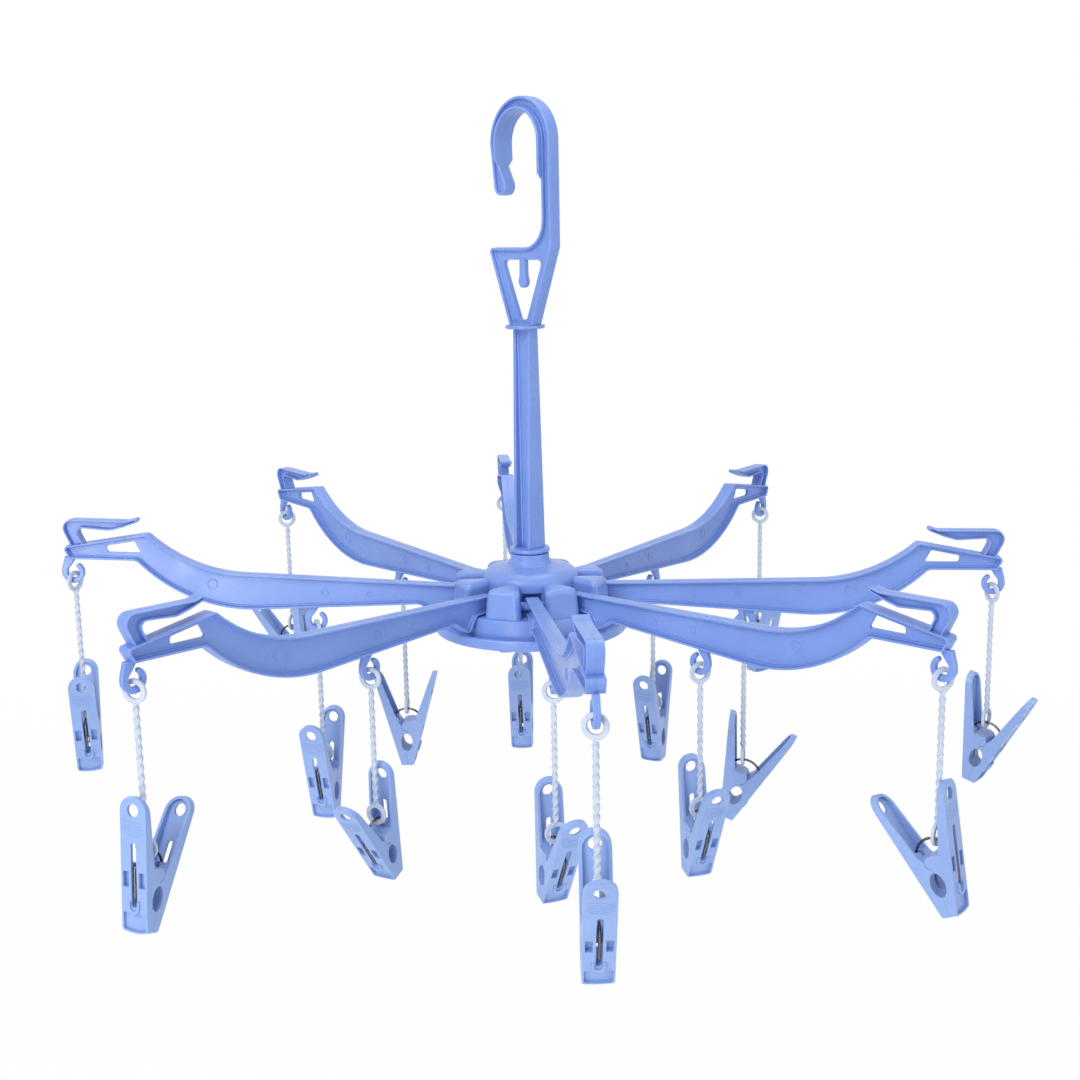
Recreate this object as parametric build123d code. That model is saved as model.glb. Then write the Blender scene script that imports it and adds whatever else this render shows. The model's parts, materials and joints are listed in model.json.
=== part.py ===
from build123d import *
from math import asin, atan, cos, degrees, hypot, pi, radians, sin, sqrt, tan
import os

# Hanging clothes dryer: a hook on a stem, a swivelling hub, eight folding arms and two sprung pegs
# on each arm, every peg on a moulded link. Millimetres, +Z up. The origin is on the stem's axis,
# level with the hook's seat, where the rail touches.

# ---------------------------------------------------------------- hook and stem
HOOK_YAW = -50.0            # the hook's plane, turned about the stem from +X
SEAT_R = 17.4               # inside radius of the hook's arch
HOOK_BEAM = 7.3             # beam height, measured in the hook's plane
HOOK_DEPTH = 8.0            # beam depth, across the hook's plane
PAD_DEPTH = 13.5            # the widened inner flange that lies on the rail
HOOK_OFFSET = 2.0           # the arch's centre stands this far off the stem's axis
HOOK_WEB = 3.0
ARCH_CHORDS = 14
HOOK_FLANGE = 2.0
THROAT_HEIGHT = 56.9        # arch centre down to the shoulder bar
TIP_DROP = 23.3             # arch centre down to the hook's rounded tip
TIP_R = 5.1
TIP_LEAN = 2.6              # how far the free leg runs in towards the beam
PAD_TIP_DROP = 12.0         # arch centre down to the pad's end on the free leg
PAD_BEAM_DROP = 20.5        # the same on the beam
SHOULDER_HALF = 26.5        # half width of the shoulder bar
SHOULDER_FILLET = 15.0
YOKE_HEIGHT = 43.1          # shoulder bar down to the upper collar
YOKE_FOOT = 9.4             # half width of the yoke at the collar
YOKE_BAR = 6.9              # shoulder bar's height above the window
YOKE_LEG = 6.6              # width of a yoke leg beside the window
TONGUE_WIDTH = 5.2
TONGUE_LENGTH = 12.0
TONGUE_DROP_R = 3.5
COLLAR_R = 11.3
COLLAR_T = 2.0
STEM_LENGTH = 126.6
STEM_WIDTH = 13.8
STEM_DEPTH_TOP = 6.8
STEM_DEPTH_FOOT = 12.6
STEM_FLANGE = 2.2
STEM_WEB = 2.6
FOOT_COLLAR_R = 11.7
FOOT_COLLAR_T = 2.4
SPINDLE_R = 6.0
RUNNING = 0.05              # radial clearance of a running fit

# ---------------------------------------------------------------- swivelling hub
COLLAR_GAP = 0.6            # stem collar above the hub's neck
NECK_R = 11.2
NECK_HEIGHT = 6.6
DOME_R = 28.2
DOME_HEIGHT = 9.1
DOME_SHOULDER = 7.5
HUB_WALL = 2.0
SPINDLE_TUBE_R = 9.0
SPINDLE_TUBE = 18.0         # length of the tube that runs on the spindle
BLOCK_APOTHEM = 46.0        # hub axis to a block's outer face
BLOCK_TOP = 11.3            # below the neck's top
BLOCK_EDGE = 2.6            # rounding of the blocks
SLOT_WIDTH = 12.0
RING_T = 1.8                # snap ring that holds the hub on the spindle
RING_R = 8.6
RING_GROOVE_R = 4.6
RING_PLAY = 0.2
BASE_OPENING_R = 20.0
SKIRT_R = 48.0
SKIRT_FLARE = 1.3
RIM_R = 56.5
RIM_T = 2.4
RIM_TOP = 9.3               # rim's top below the split between hub and base
BASE_HEIGHT = 15.4
GROOVE_DEPTH = 2.6
BASE_LIP = 6.0              # inner lip and ribs below the deck
CRADLE_IN_R = 31.0
CRADLE_OUT_R = 39.0
RIB_T = 1.6

# ---------------------------------------------------------------- arms
ARM_COUNT = 8
PIVOT_R = 35.0              # hub axis to an arm's hinge
PIVOT_DROP = 23.8           # hub neck's top down to the hinges
ARM_REACH = 270.0           # hub axis to the lower corner of an arm's tip
TIP_RISE = 18.0             # that corner above the hinge
ROOT_R = 5.0
SEAT_GAP = 0.3              # the least gap between an arm's root and the hub around it
BELLY_X = 125.0             # where the lower flange starts to sweep up, from the hinge
BELLY_Z = -11.0
BACK_X = 133.0              # the same on the upper flange
BACK_Z = 10.0
SHOULDER_U = 46.0           # the top shoulder, inward from the tip
SHOULDER_Z = 15.4
ELBOW_U = 39.5
ELBOW_Z = -0.7
STOP_X = 12.6               # where the lower flange steps down outside the skirt
STOP_DROP = 8.2
BEND_CHORDS = 3             # flats along each of the arm's two long bends
ARM_FLANGE = 1.7
ARM_WEB = 2.0
ARM_WIDTH = 9.0
ROOT_WIDTH = 7.5
TRUNNION_R = 2.5
TRUNNION_GRIP = 2.4         # trunnion past the hub's wall
CLIP_WIDTH = 8.0
CLIP_FLANGE = 1.3
MID_HOOK_R = 126.0          # hub axis to the inner peg's hook
EYE_U = 1.4                 # the outer peg's hook, inward from the tip
EYE_IN_R = 3.4              # a peg hook's inside radius
EYE_BAR = 3.6
EYE_T = 3.0
EYE_DROP = 8.4              # hook's centre below the lower flange
EYE_MOUTH = 128.0           # direction of the hook's free end, from straight outward

# each arm lies somewhere within its sideways play, as a share of it, and lifts or droops a little
ARM_SWAY = (0.65, -0.12, -0.53, 0.80, 0.43, -0.88, -0.39, 0.15)
ARM_LIFT = (0.9, -1.0, -1.9, -0.6, -0.1, 0.8, 1.6, 0.3)

# ---------------------------------------------------------------- links
LINK_LENGTH = 76.5          # between the centres of its rings
LINK_R = 1.35
LOOP_OUT_R = 6.1
LOOP_HOLE_R = 3.6
LOOP_T = 1.8
LOOP_TWIST = 25.0           # upper ring's turn from square across the arm's hook
SOFT_GAP = 0.3

# ---------------------------------------------------------------- pegs
PEG_WIDTH = 14.5
HANDLE = 36.0               # fulcrum to the handle's end
JAW = 28.0                  # fulcrum to the jaw's end
SPREAD = 15.2               # each half leans this far from the peg's middle plane
JAW_T = 3.6
HANDLE_T = 3.1
CHANNEL_T = 1.5             # plate and walls of a half's channel
CHANNEL_FOOT = 5.0
FULCRUM_R = 3.2
JAW_GAP = 0.1
GRIP_HOLE_R = 4.3
GRIP_HOLE_DROP = 12.5
EYELET_R = 2.6
EYELET_INSET = 6.6
SPRING_SLOT = 3.0
SLOT_TOP = 14.5
SLOT_FOOT = -15.5
WIRE_R = 0.7
WIRE_ARC_R = 10.3           # the spring's bow over the fulcrum
WIRE_ARC_HALF = 52.0
WIRE_FOOT = -11.5
WIRE_CURL = 2.0
BOW_CHORDS = 4

# each peg's turn about the vertical, and how far its spring has slid round in the link's ring
OUTER_PEGS = ((180, -10), (50, -24), (-130, -15), (30, 0), (10, 0), (70, -20), (-170, 0), (-25, -20))
INNER_PEGS = ((-160, -15), (-165, -10), (-105, -20), (-25, 0), (-5, 0), (85, 0), (-15, 0), (150, -20))

# ---------------------------------------------------------------- levels that follow
arch_z = -SEAT_R
shoulder_z = arch_z - THROAT_HEIGHT
collar_z = shoulder_z - YOKE_HEIGHT
stem_top = collar_z - COLLAR_T
stem_foot = stem_top - STEM_LENGTH
spindle_top = stem_foot - FOOT_COLLAR_T
neck_z = spindle_top - COLLAR_GAP
dome_z = neck_z - NECK_HEIGHT
block_z = neck_z - BLOCK_TOP
pivot_z = neck_z - PIVOT_DROP
split_z = pivot_z - ROOT_R - SEAT_GAP - STOP_X * sin(radians(-min(ARM_LIFT)))
tube_foot = neck_z - SPINDLE_TUBE
ring_top = tube_foot - RING_PLAY
rim_z = split_z - RIM_TOP
base_z = split_z - BASE_HEIGHT
tip_x = ARM_REACH - PIVOT_R
tip_z = TIP_RISE
wall_reach = SLOT_WIDTH / 2 + HUB_WALL
trunnion_half = wall_reach + TRUNNION_GRIP
block_corner = BLOCK_APOTHEM / cos(radians(180 / ARM_COUNT))
arm_play = degrees(asin((SLOT_WIDTH - ROOT_WIDTH - 2 * SEAT_GAP) / 2 / (block_corner - PIVOT_R)))
trunnion_play = trunnion_half * sin(radians(arm_play))
loop_mid_r = (LOOP_OUT_R + LOOP_HOLE_R) / 2

# large rounds of the mouldings are built with this many flats, and small ones with this many
HUB_FLATS = 24
SMALL_FLATS = 8


def write(shape, name):
    shape.label = name
    export_step(shape, f"parts/{name}.step")


def plate(face, thickness):
    """A face drawn in X and Z, made into a plate centred on Y = 0."""
    return extrude(face, amount=thickness / 2, both=True)


def xz(*points):
    """A closed outline in X and Z."""
    return Plane.XZ * make_face(Polyline(*points, close=True))


def chords(curve, count):
    """Points along a curve that divide it into equal chords."""
    return [curve @ (k / count) for k in range(count + 1)]


def flats(r, count=SMALL_FLATS, around_r=False):
    """A many-sided round of radius r; around_r keeps its flats outside that radius."""
    return RegularPolygon(r, count, major_radius=not around_r)


def turned(*profile, sides=HUB_FLATS):
    """A many-sided solid on the hub's axis through the radii and heights of its profile."""
    body = None
    for (r_top, top), (r_foot, foot) in zip(profile, profile[1:]):
        if top - foot < 0.01:
            continue
        inward = (r_foot - r_top) * cos(pi / sides)
        base = Pos(0, 0, foot) * flats(r_foot, sides)
        band = extrude(base, amount=top - foot, taper=degrees(atan(inward / (top - foot))))
        body = band if body is None else body + band
    return body


def column(r, top, foot, sides=HUB_FLATS):
    return turned((r, top), (r, foot), sides=sides)


def rim_of(face, thickness):
    """The strip of a face that lies along its own edge."""
    return face - offset(face, amount=-thickness, kind=Kind.INTERSECTION)


# ---------------------------------------------------------------- stem with its hook
def arch_band(r_in, r_out):
    """The upper half of a ring about the arch's centre, between two radii."""
    outer = ThreePointArc((-r_out, 0), (0, r_out), (r_out, 0))
    inner = ThreePointArc((r_in, 0), (0, r_in), (-r_in, 0))
    points = [*chords(outer, ARCH_CHORDS), *chords(inner, ARCH_CHORDS)]
    return Plane.XZ * Pos(HOOK_OFFSET, arch_z) * make_face(Polyline(*points, close=True))


def hook_outline():
    beam_out = HOOK_OFFSET + SEAT_R + HOOK_BEAM
    beam_in = beam_out - HOOK_BEAM
    leg_out = HOOK_OFFSET - SEAT_R - HOOK_BEAM
    tip_z_mid = arch_z - TIP_DROP
    tip_x_mid = leg_out + TIP_LEAN + TIP_R
    arch = arch_band(SEAT_R, SEAT_R + HOOK_BEAM)
    leg = xz(
        (leg_out, arch_z),
        (leg_out + HOOK_BEAM, arch_z),
        (leg_out + HOOK_BEAM + 0.4, arch_z - PAD_TIP_DROP),
        (tip_x_mid + TIP_R, tip_z_mid + 1.5),
        (tip_x_mid + TIP_R, tip_z_mid),
        (tip_x_mid - TIP_R, tip_z_mid),
    )
    beam = xz(
        (beam_in, arch_z),
        (beam_out, arch_z),
        (beam_out, shoulder_z - 1),
        (beam_in, shoulder_z - 1),
    )
    yoke = xz(
        (-SHOULDER_HALF + 2, shoulder_z),
        (beam_out, shoulder_z),
        (YOKE_FOOT, collar_z),
        (-YOKE_FOOT, collar_z),
        (-SHOULDER_HALF, shoulder_z - 2.5),
    )
    # the shoulder's inside corner is filled out to a round
    bend = RadiusArc(
        (beam_in - SHOULDER_FILLET, shoulder_z), (beam_in, shoulder_z + SHOULDER_FILLET), -SHOULDER_FILLET
    )
    fill = xz(*chords(bend, 4), (beam_in + 1, shoulder_z - 1), (beam_in - SHOULDER_FILLET, shoulder_z - 1))
    tip = Plane.XZ * Pos(tip_x_mid, tip_z_mid) * flats(TIP_R, 12)
    return arch + leg + tip + beam + yoke + fill


def yoke_window():
    top = shoulder_z - YOKE_BAR
    foot = collar_z + 3.0
    slope = (SHOULDER_HALF - YOKE_FOOT) / YOKE_HEIGHT
    half = YOKE_FOOT - YOKE_LEG + slope * (top - collar_z)
    foot_half = YOKE_FOOT - YOKE_LEG + slope * (foot - collar_z) - 0.8
    return xz((-half, top), (half, top), (foot_half, foot), (-foot_half, foot))


def tongue():
    top = shoulder_z - YOKE_BAR
    strip = Plane.XZ * Pos(0, top - TONGUE_LENGTH / 2 + 1) * Rectangle(TONGUE_WIDTH, TONGUE_LENGTH + 2)
    return strip + Plane.XZ * Pos(0, top - TONGUE_LENGTH) * flats(TONGUE_DROP_R)


def rail_pad():
    """The inner flange, widened where a rail lies on it."""
    ring = arch_band(SEAT_R, SEAT_R + HOOK_FLANGE)
    left = HOOK_OFFSET - SEAT_R
    right = HOOK_OFFSET + SEAT_R
    free_leg = xz(
        (left - HOOK_FLANGE, arch_z),
        (left, arch_z),
        (left + 0.4, arch_z - PAD_TIP_DROP),
        (left - HOOK_FLANGE + 0.4, arch_z - PAD_TIP_DROP),
    )
    beam_leg = xz(
        (right, arch_z),
        (right + HOOK_FLANGE, arch_z),
        (right + HOOK_FLANGE, arch_z - PAD_BEAM_DROP),
        (right, arch_z - PAD_BEAM_DROP),
    )
    return plate(ring + free_leg + beam_leg, PAD_DEPTH)


def stem_beam():
    """The H-section below the yoke: it deepens towards the hub."""
    flange_side = Plane.YZ * make_face(
        Polyline(
            (-STEM_DEPTH_TOP / 2, stem_top),
            (STEM_DEPTH_TOP / 2, stem_top),
            (STEM_DEPTH_FOOT / 2, stem_foot),
            (-STEM_DEPTH_FOOT / 2, stem_foot),
            close=True,
        )
    )
    flange = extrude(flange_side, amount=STEM_FLANGE)
    web_z = (stem_top + stem_foot) / 2
    beam = Pos(0, 0, web_z) * Box(STEM_WIDTH, STEM_WEB, STEM_LENGTH)
    beam += Pos(STEM_WIDTH / 2 - STEM_FLANGE, 0, 0) * flange
    beam += Pos(-STEM_WIDTH / 2, 0, 0) * flange
    return beam


def disc_at(r, top, thickness):
    return Pos(0, 0, top - thickness / 2) * Cylinder(r, thickness)


def stem():
    outline = hook_outline()
    window = yoke_window()
    body = plate(outline - window, HOOK_WEB)
    body += plate(rim_of(outline, HOOK_FLANGE), HOOK_DEPTH)
    body += plate(tongue(), HOOK_WEB)
    body += rail_pad()
    body += stem_beam()
    body += column(COLLAR_R, collar_z, stem_top, 24)
    body += column(FOOT_COLLAR_R, stem_foot, spindle_top, 24)
    ring_foot = ring_top - RING_T
    spindle = disc_at(SPINDLE_R, spindle_top, spindle_top - ring_top)
    spindle += column(RING_GROOVE_R, ring_top, ring_foot, SMALL_FLATS)
    end = (SPINDLE_R, ring_foot), (SPINDLE_R, ring_foot - 2), (SPINDLE_R - 1, ring_foot - 3)
    spindle += turned(*end, sides=16)
    return Rot(0, 0, HOOK_YAW) * (body + spindle)


def snap_ring():
    ring = flats(RING_R, 16) - flats(RING_GROOVE_R + RUNNING, SMALL_FLATS, around_r=True)
    ring -= Pos(RING_R / 2, 0) * Rectangle(RING_R, RING_GROOVE_R * 1.6)
    return Rot(0, 0, HOOK_YAW) * Pos(0, 0, ring_top - RING_T) * extrude(ring, amount=RING_T)


# ---------------------------------------------------------------- hub
def around(shape, count=ARM_COUNT, start=0.0):
    """Copies of a shape at even turns about the hub's axis."""
    return [Rot(0, 0, start + n * 360 / count) * shape for n in range(count)]


def octagon(apothem, top, foot):
    side = RegularPolygon(apothem, ARM_COUNT, major_radius=False)
    return Pos(0, 0, foot) * extrude(side, amount=top - foot)


def slot_tool(width, inner_r, top, foot):
    length = 2 * BLOCK_APOTHEM
    return Pos(inner_r + length / 2, 0, (top + foot) / 2) * Box(length, width, top - foot)


def beyond(edges, r):
    """The edges whose middles stand further than r from the hub's axis."""
    return edges.filter_by(lambda e: hypot(e.center().X, e.center().Y) > r)


def dome(inset):
    """The dome and its drum: a shallow crown with a round shoulder, smaller by inset all over."""
    r = DOME_R - inset
    top = dome_z - inset
    crown = top - DOME_HEIGHT + DOME_SHOULDER
    bend = DOME_SHOULDER
    return turned(
        (NECK_R + 2, top),
        (r - bend, crown),
        (r - bend * 0.5, crown - bend * 0.134),
        (r - bend * 0.134, crown - bend * 0.5),
        (r, crown - bend),
        (r, split_z),
    )


def hub_top():
    blocks = octagon(BLOCK_APOTHEM, block_z, split_z)
    blocks -= around(slot_tool(SLOT_WIDTH, DOME_R - HUB_WALL / 2, block_z + 1, split_z - 1))
    corners = beyond(blocks.edges().filter_by(Axis.Z), BLOCK_APOTHEM)
    blocks = chamfer(corners, BLOCK_EDGE * 0.6)
    top_edges = beyond(blocks.edges().group_by(Axis.Z)[-1], BLOCK_APOTHEM - BLOCK_EDGE)
    blocks = chamfer(top_edges, BLOCK_EDGE / 2)
    body = blocks + dome(0)
    body += column(NECK_R, neck_z, dome_z - 1)
    hollow = octagon(BLOCK_APOTHEM - HUB_WALL, block_z - HUB_WALL, split_z)
    hollow -= around(slot_tool(SLOT_WIDTH + 2 * HUB_WALL, 0, block_z, split_z))
    hollow -= column(DOME_R, block_z, split_z)
    tube = column(SPINDLE_TUBE_R, dome_z, tube_foot, 16)
    body -= hollow
    body -= dome(HUB_WALL) - tube
    body -= disc_at(SPINDLE_R + RUNNING, neck_z, neck_z - split_z)
    notch_top = pivot_z + TRUNNION_R + RUNNING
    notch_w = 2 * (TRUNNION_R + trunnion_play + RUNNING)
    notch = Pos(PIVOT_R, 0, (notch_top + split_z) / 2) * Box(notch_w, 2 * wall_reach + 1, notch_top - split_z)
    return body - around(notch)


def hub_base():
    """A dish: flat deck, flared skirt, groove and raised rim, ribbed underneath."""
    deck = split_z - HUB_WALL
    groove = rim_z - GROOVE_DEPTH
    flare = SKIRT_R + SKIRT_FLARE
    body = turned((SKIRT_R - 1.2, split_z), (SKIRT_R, split_z - 1.2), (flare, groove - HUB_WALL))
    rim = turned((RIM_R, rim_z), (RIM_R, base_z + 1), (RIM_R - 1, base_z))
    rim -= column(RIM_R - RIM_T, rim_z, groove)
    rim -= column(RIM_R - RIM_T, groove - HUB_WALL, base_z)
    body += rim
    body -= turned((SKIRT_R - HUB_WALL, deck), (flare - HUB_WALL, groove - HUB_WALL), (flare, base_z))
    lip = column(BASE_OPENING_R + HUB_WALL, deck, deck - BASE_LIP)
    rib_length = SKIRT_R - BASE_OPENING_R - HUB_WALL
    rib = Pos(BASE_OPENING_R + 1 + rib_length / 2, 0, deck - BASE_LIP / 2) * Box(rib_length, RIB_T, BASE_LIP)
    for piece in around(rib, start=180 / ARM_COUNT):
        body += piece
    body += lip
    body -= column(BASE_OPENING_R, split_z, deck - BASE_LIP)
    cradle_top = pivot_z - TRUNNION_R - RUNNING
    wall = column(CRADLE_OUT_R, cradle_top, split_z)
    wall -= column(CRADLE_IN_R, cradle_top, split_z)
    wall -= around(slot_tool(2 * (wall_reach + SEAT_GAP), 0, cradle_top + 1, split_z - 1))
    for segment in wall.solids():
        body += segment
    return body


# ---------------------------------------------------------------- arms
def tip_point(u, z):
    """A point near an arm's end, by its distance inward from the tip and its height above it."""
    return (tip_x - u, tip_z + z)


def beam_outline():
    elbow = tip_point(ELBOW_U, ELBOW_Z)
    shoulder = tip_point(SHOULDER_U, SHOULDER_Z)
    stop_foot = STOP_X + STOP_DROP * 0.65
    stop_out = STOP_X + 17.4
    lower_end = (BELLY_X, BELLY_Z)
    upper_end = (BACK_X, BACK_Z)
    rise_from = (stop_out, BELLY_Z + (BELLY_X - stop_out) * 0.046)
    lower = Line(rise_from, lower_end)
    upper = Line((0, ROOT_R), upper_end)
    root = ThreePointArc((0, ROOT_R), (-ROOT_R, 0), (0, -ROOT_R))
    belly = TangentArc(lower_end, elbow, tangent=lower % 1)
    back = TangentArc(upper_end, shoulder, tangent=upper % 1)
    return xz(
        *chords(root, 4),
        (STOP_X, -ROOT_R),
        (stop_foot, -ROOT_R - STOP_DROP),
        (stop_foot + 2.5, -ROOT_R - STOP_DROP),
        rise_from,
        *chords(belly, BEND_CHORDS),
        (tip_x, tip_z),
        tip_point(-2.8, 5.5),
        tip_point(-1.9, 7.6),
        *reversed(chords(back, BEND_CHORDS)),
    )


def tip_window():
    """The opening in the web behind the tip."""
    return xz(
        tip_point(22.0, 3.7),
        tip_point(40.3, 3.5),
        tip_point(36.9, 10.3),
        tip_point(22.0, 7.9),
    )


def clip_outline():
    """The sprung clip that turns back over the arm's end."""
    return xz(
        tip_point(1.4, 7.2),
        tip_point(-3.6, 18.8),
        tip_point(-2.4, 22.4),
        tip_point(1.2, 23.6),
        tip_point(35.0, 22.9),
        tip_point(40.2, 24.6),
        tip_point(41.0, 22.2),
        tip_point(32.2, 19.0),
        tip_point(24.6, 17.0),
        tip_point(4.0, 18.6),
        tip_point(9.0, 8.0),
    )


def eye(x, z):
    """An open hook under the lower flange, whose surface is at height z above its root's middle."""
    mid_z = z - EYE_DROP
    out_r = EYE_IN_R + EYE_BAR
    far = 3 * out_r
    mouth = (far * cos(radians(EYE_MOUTH)), far * sin(radians(EYE_MOUTH)))
    ring = flats(out_r) - flats(EYE_IN_R, around_r=True)
    ring -= make_face(Polyline((0, 0), (far, 0), (far, far), mouth, close=True))
    root = EYE_DROP + ARM_FLANGE / 2
    leg = Polyline(
        (EYE_IN_R, -0.2),
        (out_r - 0.1, -0.2),
        (EYE_IN_R + 1.0, root),
        (-1.9, root),
        (EYE_IN_R - 0.1, 1.0),
        close=True,
    )
    return plate(Plane.XZ * Pos(x, mid_z) * (ring + make_face(leg)), EYE_T)


def lower_flange_z(x):
    """Height of the lower flange's surface between the stop and the belly."""
    return BELLY_Z + (BELLY_X - x) * 0.046


EYES = {
    "outer": (tip_x - EYE_U, tip_z),
    "inner": (MID_HOOK_R - PIVOT_R, lower_flange_z(MID_HOOK_R - PIVOT_R)),
}


def arm():
    """One arm in its own frame: the hinge at the origin, outward along +X."""
    outline = beam_outline()
    clip = clip_outline()
    flanges = plate(rim_of(outline, ARM_FLANGE), ARM_WIDTH)
    taper = make_face(
        Polyline(
            (-ROOT_R - 1, -ROOT_WIDTH / 2),
            (block_corner - PIVOT_R, -ROOT_WIDTH / 2),
            (block_corner, -ARM_WIDTH / 2),
            (tip_x + 10, -ARM_WIDTH / 2),
            (tip_x + 10, ARM_WIDTH / 2),
            (block_corner, ARM_WIDTH / 2),
            (block_corner - PIVOT_R, ROOT_WIDTH / 2),
            (-ROOT_R - 1, ROOT_WIDTH / 2),
            close=True,
        )
    )
    flanges &= extrude(taper, amount=100, both=True)
    body = flanges + plate(outline - tip_window(), ARM_WEB)
    body += plate(rim_of(clip, CLIP_FLANGE), CLIP_WIDTH) + plate(clip, ARM_WEB)
    for x, z in EYES.values():
        body += eye(x, z)
    body += Rot(90, 0, 0) * Cylinder(TRUNNION_R, 2 * trunnion_half)
    return body


def arm_turn(n):
    """An arm's direction, sway included, from +X."""
    return n * 360 / ARM_COUNT - 90 + ARM_SWAY[n] * arm_play


def arm_place(n):
    turn = n * 360 / ARM_COUNT - 90
    lean = Rot(0, 0, ARM_SWAY[n] * arm_play) * Rot(0, -ARM_LIFT[n], 0)
    return Rot(0, 0, turn) * Pos(PIVOT_R, 0, pivot_z) * lean


# ---------------------------------------------------------------- links and pegs
# a ring first meets its hook's corner this far along the ring, and this far along the hook
touch_w = (EYE_T / 2 + LOOP_T / 2 * sin(radians(LOOP_TWIST))) / cos(radians(LOOP_TWIST))
touch_x = touch_w * sin(radians(LOOP_TWIST)) + LOOP_T / 2 * cos(radians(LOOP_TWIST))
loop_drop = sqrt(EYE_IN_R**2 - touch_x**2) + sqrt(LOOP_HOLE_R**2 - touch_w**2) - SOFT_GAP
wire_drop = LOOP_HOLE_R - WIRE_R - SOFT_GAP


def loop(turn, z):
    """A flat ring on edge; turn is the direction that its hole faces."""
    ring = extrude(flats(LOOP_OUT_R) - flats(LOOP_HOLE_R, around_r=True), amount=LOOP_T / 2, both=True)
    return Pos(0, 0, z) * Rot(0, 0, turn) * Rot(0, 90, 0) * ring


def link(lower_turn):
    """A link in its own frame: the upper ring's centre at the origin, +X along the arm."""
    shank = column(LINK_R, -loop_mid_r, loop_mid_r - LINK_LENGTH, 6)
    return loop(LOOP_TWIST, 0) + shank + loop(lower_turn, -LINK_LENGTH)


def outer_y(z):
    """A peg half's outer face at height z above the fulcrum."""
    return JAW_T + (z + JAW) * tan(radians(SPREAD))


def yz(*points):
    return Plane.YZ * make_face(Polyline(*points, close=True))


def peg_plan(margin, foot):
    """The half seen square on, with its full-round end, inset all round by margin."""
    half = PEG_WIDTH / 2 - margin
    mid = HANDLE - PEG_WIDTH / 2
    sheet = Plane.XZ * Pos(0, (mid + foot) / 2) * Rectangle(2 * half, mid - foot)
    return sheet + Plane.XZ * Pos(0, mid) * flats(half / cos(pi / 8), 8)


def peg_half(socket):
    """The half on the +Y side. A socket is hollowed round the fulcrum; without it there is a boss."""
    seat = (JAW_GAP, -FULCRUM_R) if socket else (JAW_GAP, FULCRUM_R)
    side = yz(
        (JAW_GAP, -JAW),
        (JAW_T, -JAW),
        (outer_y(HANDLE), HANDLE),
        (outer_y(HANDLE) - HANDLE_T, HANDLE),
        (FULCRUM_R + 2.4, FULCRUM_R),
        seat,
    )
    body = extrude(side, amount=PEG_WIDTH / 2, both=True)
    body &= extrude(peg_plan(0, -JAW), amount=60, both=True)
    channel_side = yz(
        (0, CHANNEL_FOOT),
        (outer_y(CHANNEL_FOOT) - CHANNEL_T, CHANNEL_FOOT),
        (outer_y(HANDLE) - CHANNEL_T, HANDLE),
        (0, HANDLE),
    )
    channel = extrude(channel_side, amount=PEG_WIDTH / 2, both=True)
    body -= channel & extrude(peg_plan(CHANNEL_T, CHANNEL_FOOT), amount=60, both=True)
    if socket:
        body -= extrude(Plane.YZ * flats(FULCRUM_R + RUNNING, 8, around_r=True), amount=PEG_WIDTH, both=True)
    else:
        body += Rot(0, 90, 0) * Cylinder(FULCRUM_R, PEG_WIDTH)
    grip = Plane.YZ * Pos(0, -GRIP_HOLE_DROP) * flats(GRIP_HOLE_R)
    body -= extrude(grip, amount=PEG_WIDTH, both=True)
    body -= extrude(Plane.XZ * Pos(0, HANDLE - EYELET_INSET) * flats(EYELET_R, 8), amount=60, both=True)
    clear_y = FULCRUM_R + 0.5
    deep_foot = -FULCRUM_R - 1.0
    slot = Pos(0, clear_y + 15, (SLOT_TOP + SLOT_FOOT) / 2) * Box(SPRING_SLOT, 30, SLOT_TOP - SLOT_FOOT)
    slot += Pos(0, 15, (deep_foot + SLOT_FOOT) / 2) * Box(SPRING_SLOT, 30, deep_foot - SLOT_FOOT)
    return body - slot


def spring_line(outset):
    """The wire's course, from one curled end over the fulcrum to the other, moved outward by outset."""
    half = radians(WIRE_ARC_HALF)
    lean = tan(radians(SPREAD))
    arc_r = WIRE_ARC_R + outset
    arc_end = (arc_r * sin(half), arc_r * cos(half))
    face = outer_y(0) - WIRE_R - 0.2 + outset / cos(radians(SPREAD))
    run = (face + lean * arc_end[1] - arc_end[0]) / (cos(half) + lean * sin(half))
    knee = (arc_end[0] + run * cos(half), arc_end[1] - run * sin(half))
    foot_z = WIRE_FOOT - outset * 0.8
    foot = (face + lean * foot_z, foot_z)
    curl = (foot[0] - WIRE_CURL, foot_z - 0.6)
    bow = ThreePointArc(arc_end, (0, arc_r), (-arc_end[0], arc_end[1]))
    right = [curl, foot, knee]
    left = [(-y, z) for y, z in reversed(right)]
    return right + chords(bow, BOW_CHORDS) + left


def spring():
    """A wire bow over the fulcrum, whose legs run down both halves' outer faces."""
    outline = make_face(Polyline(*spring_line(WIRE_R), *reversed(spring_line(-WIRE_R)), close=True))
    return extrude(Plane.YZ * outline, amount=WIRE_R, both=True)


def hang(n, which):
    """Where an arm's link hangs straight down: its upper ring's centre and the arm's direction."""
    x, z = EYES[which]
    eye_mid = (arm_place(n) * Pos(x, 0, z - EYE_DROP)).position
    return Pos(*eye_mid) * Rot(0, 0, arm_turn(n)) * Pos(0, 0, -loop_drop)


def peg_place(n, which):
    turn, slide = (OUTER_PEGS if which == "outer" else INNER_PEGS)[n]
    at = hang(n, which).position + Vector(0, 0, -LINK_LENGTH - wire_drop - WIRE_ARC_R)
    return Pos(*at) * Rot(0, 0, turn) * Rot(slide, 0, 0)


def link_turn(n, which):
    """The lower ring's turn in the link's frame, so that its hole faces along the spring's wire."""
    turn = (OUTER_PEGS if which == "outer" else INNER_PEGS)[n][0]
    return turn + 90 - arm_turn(n)


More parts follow.
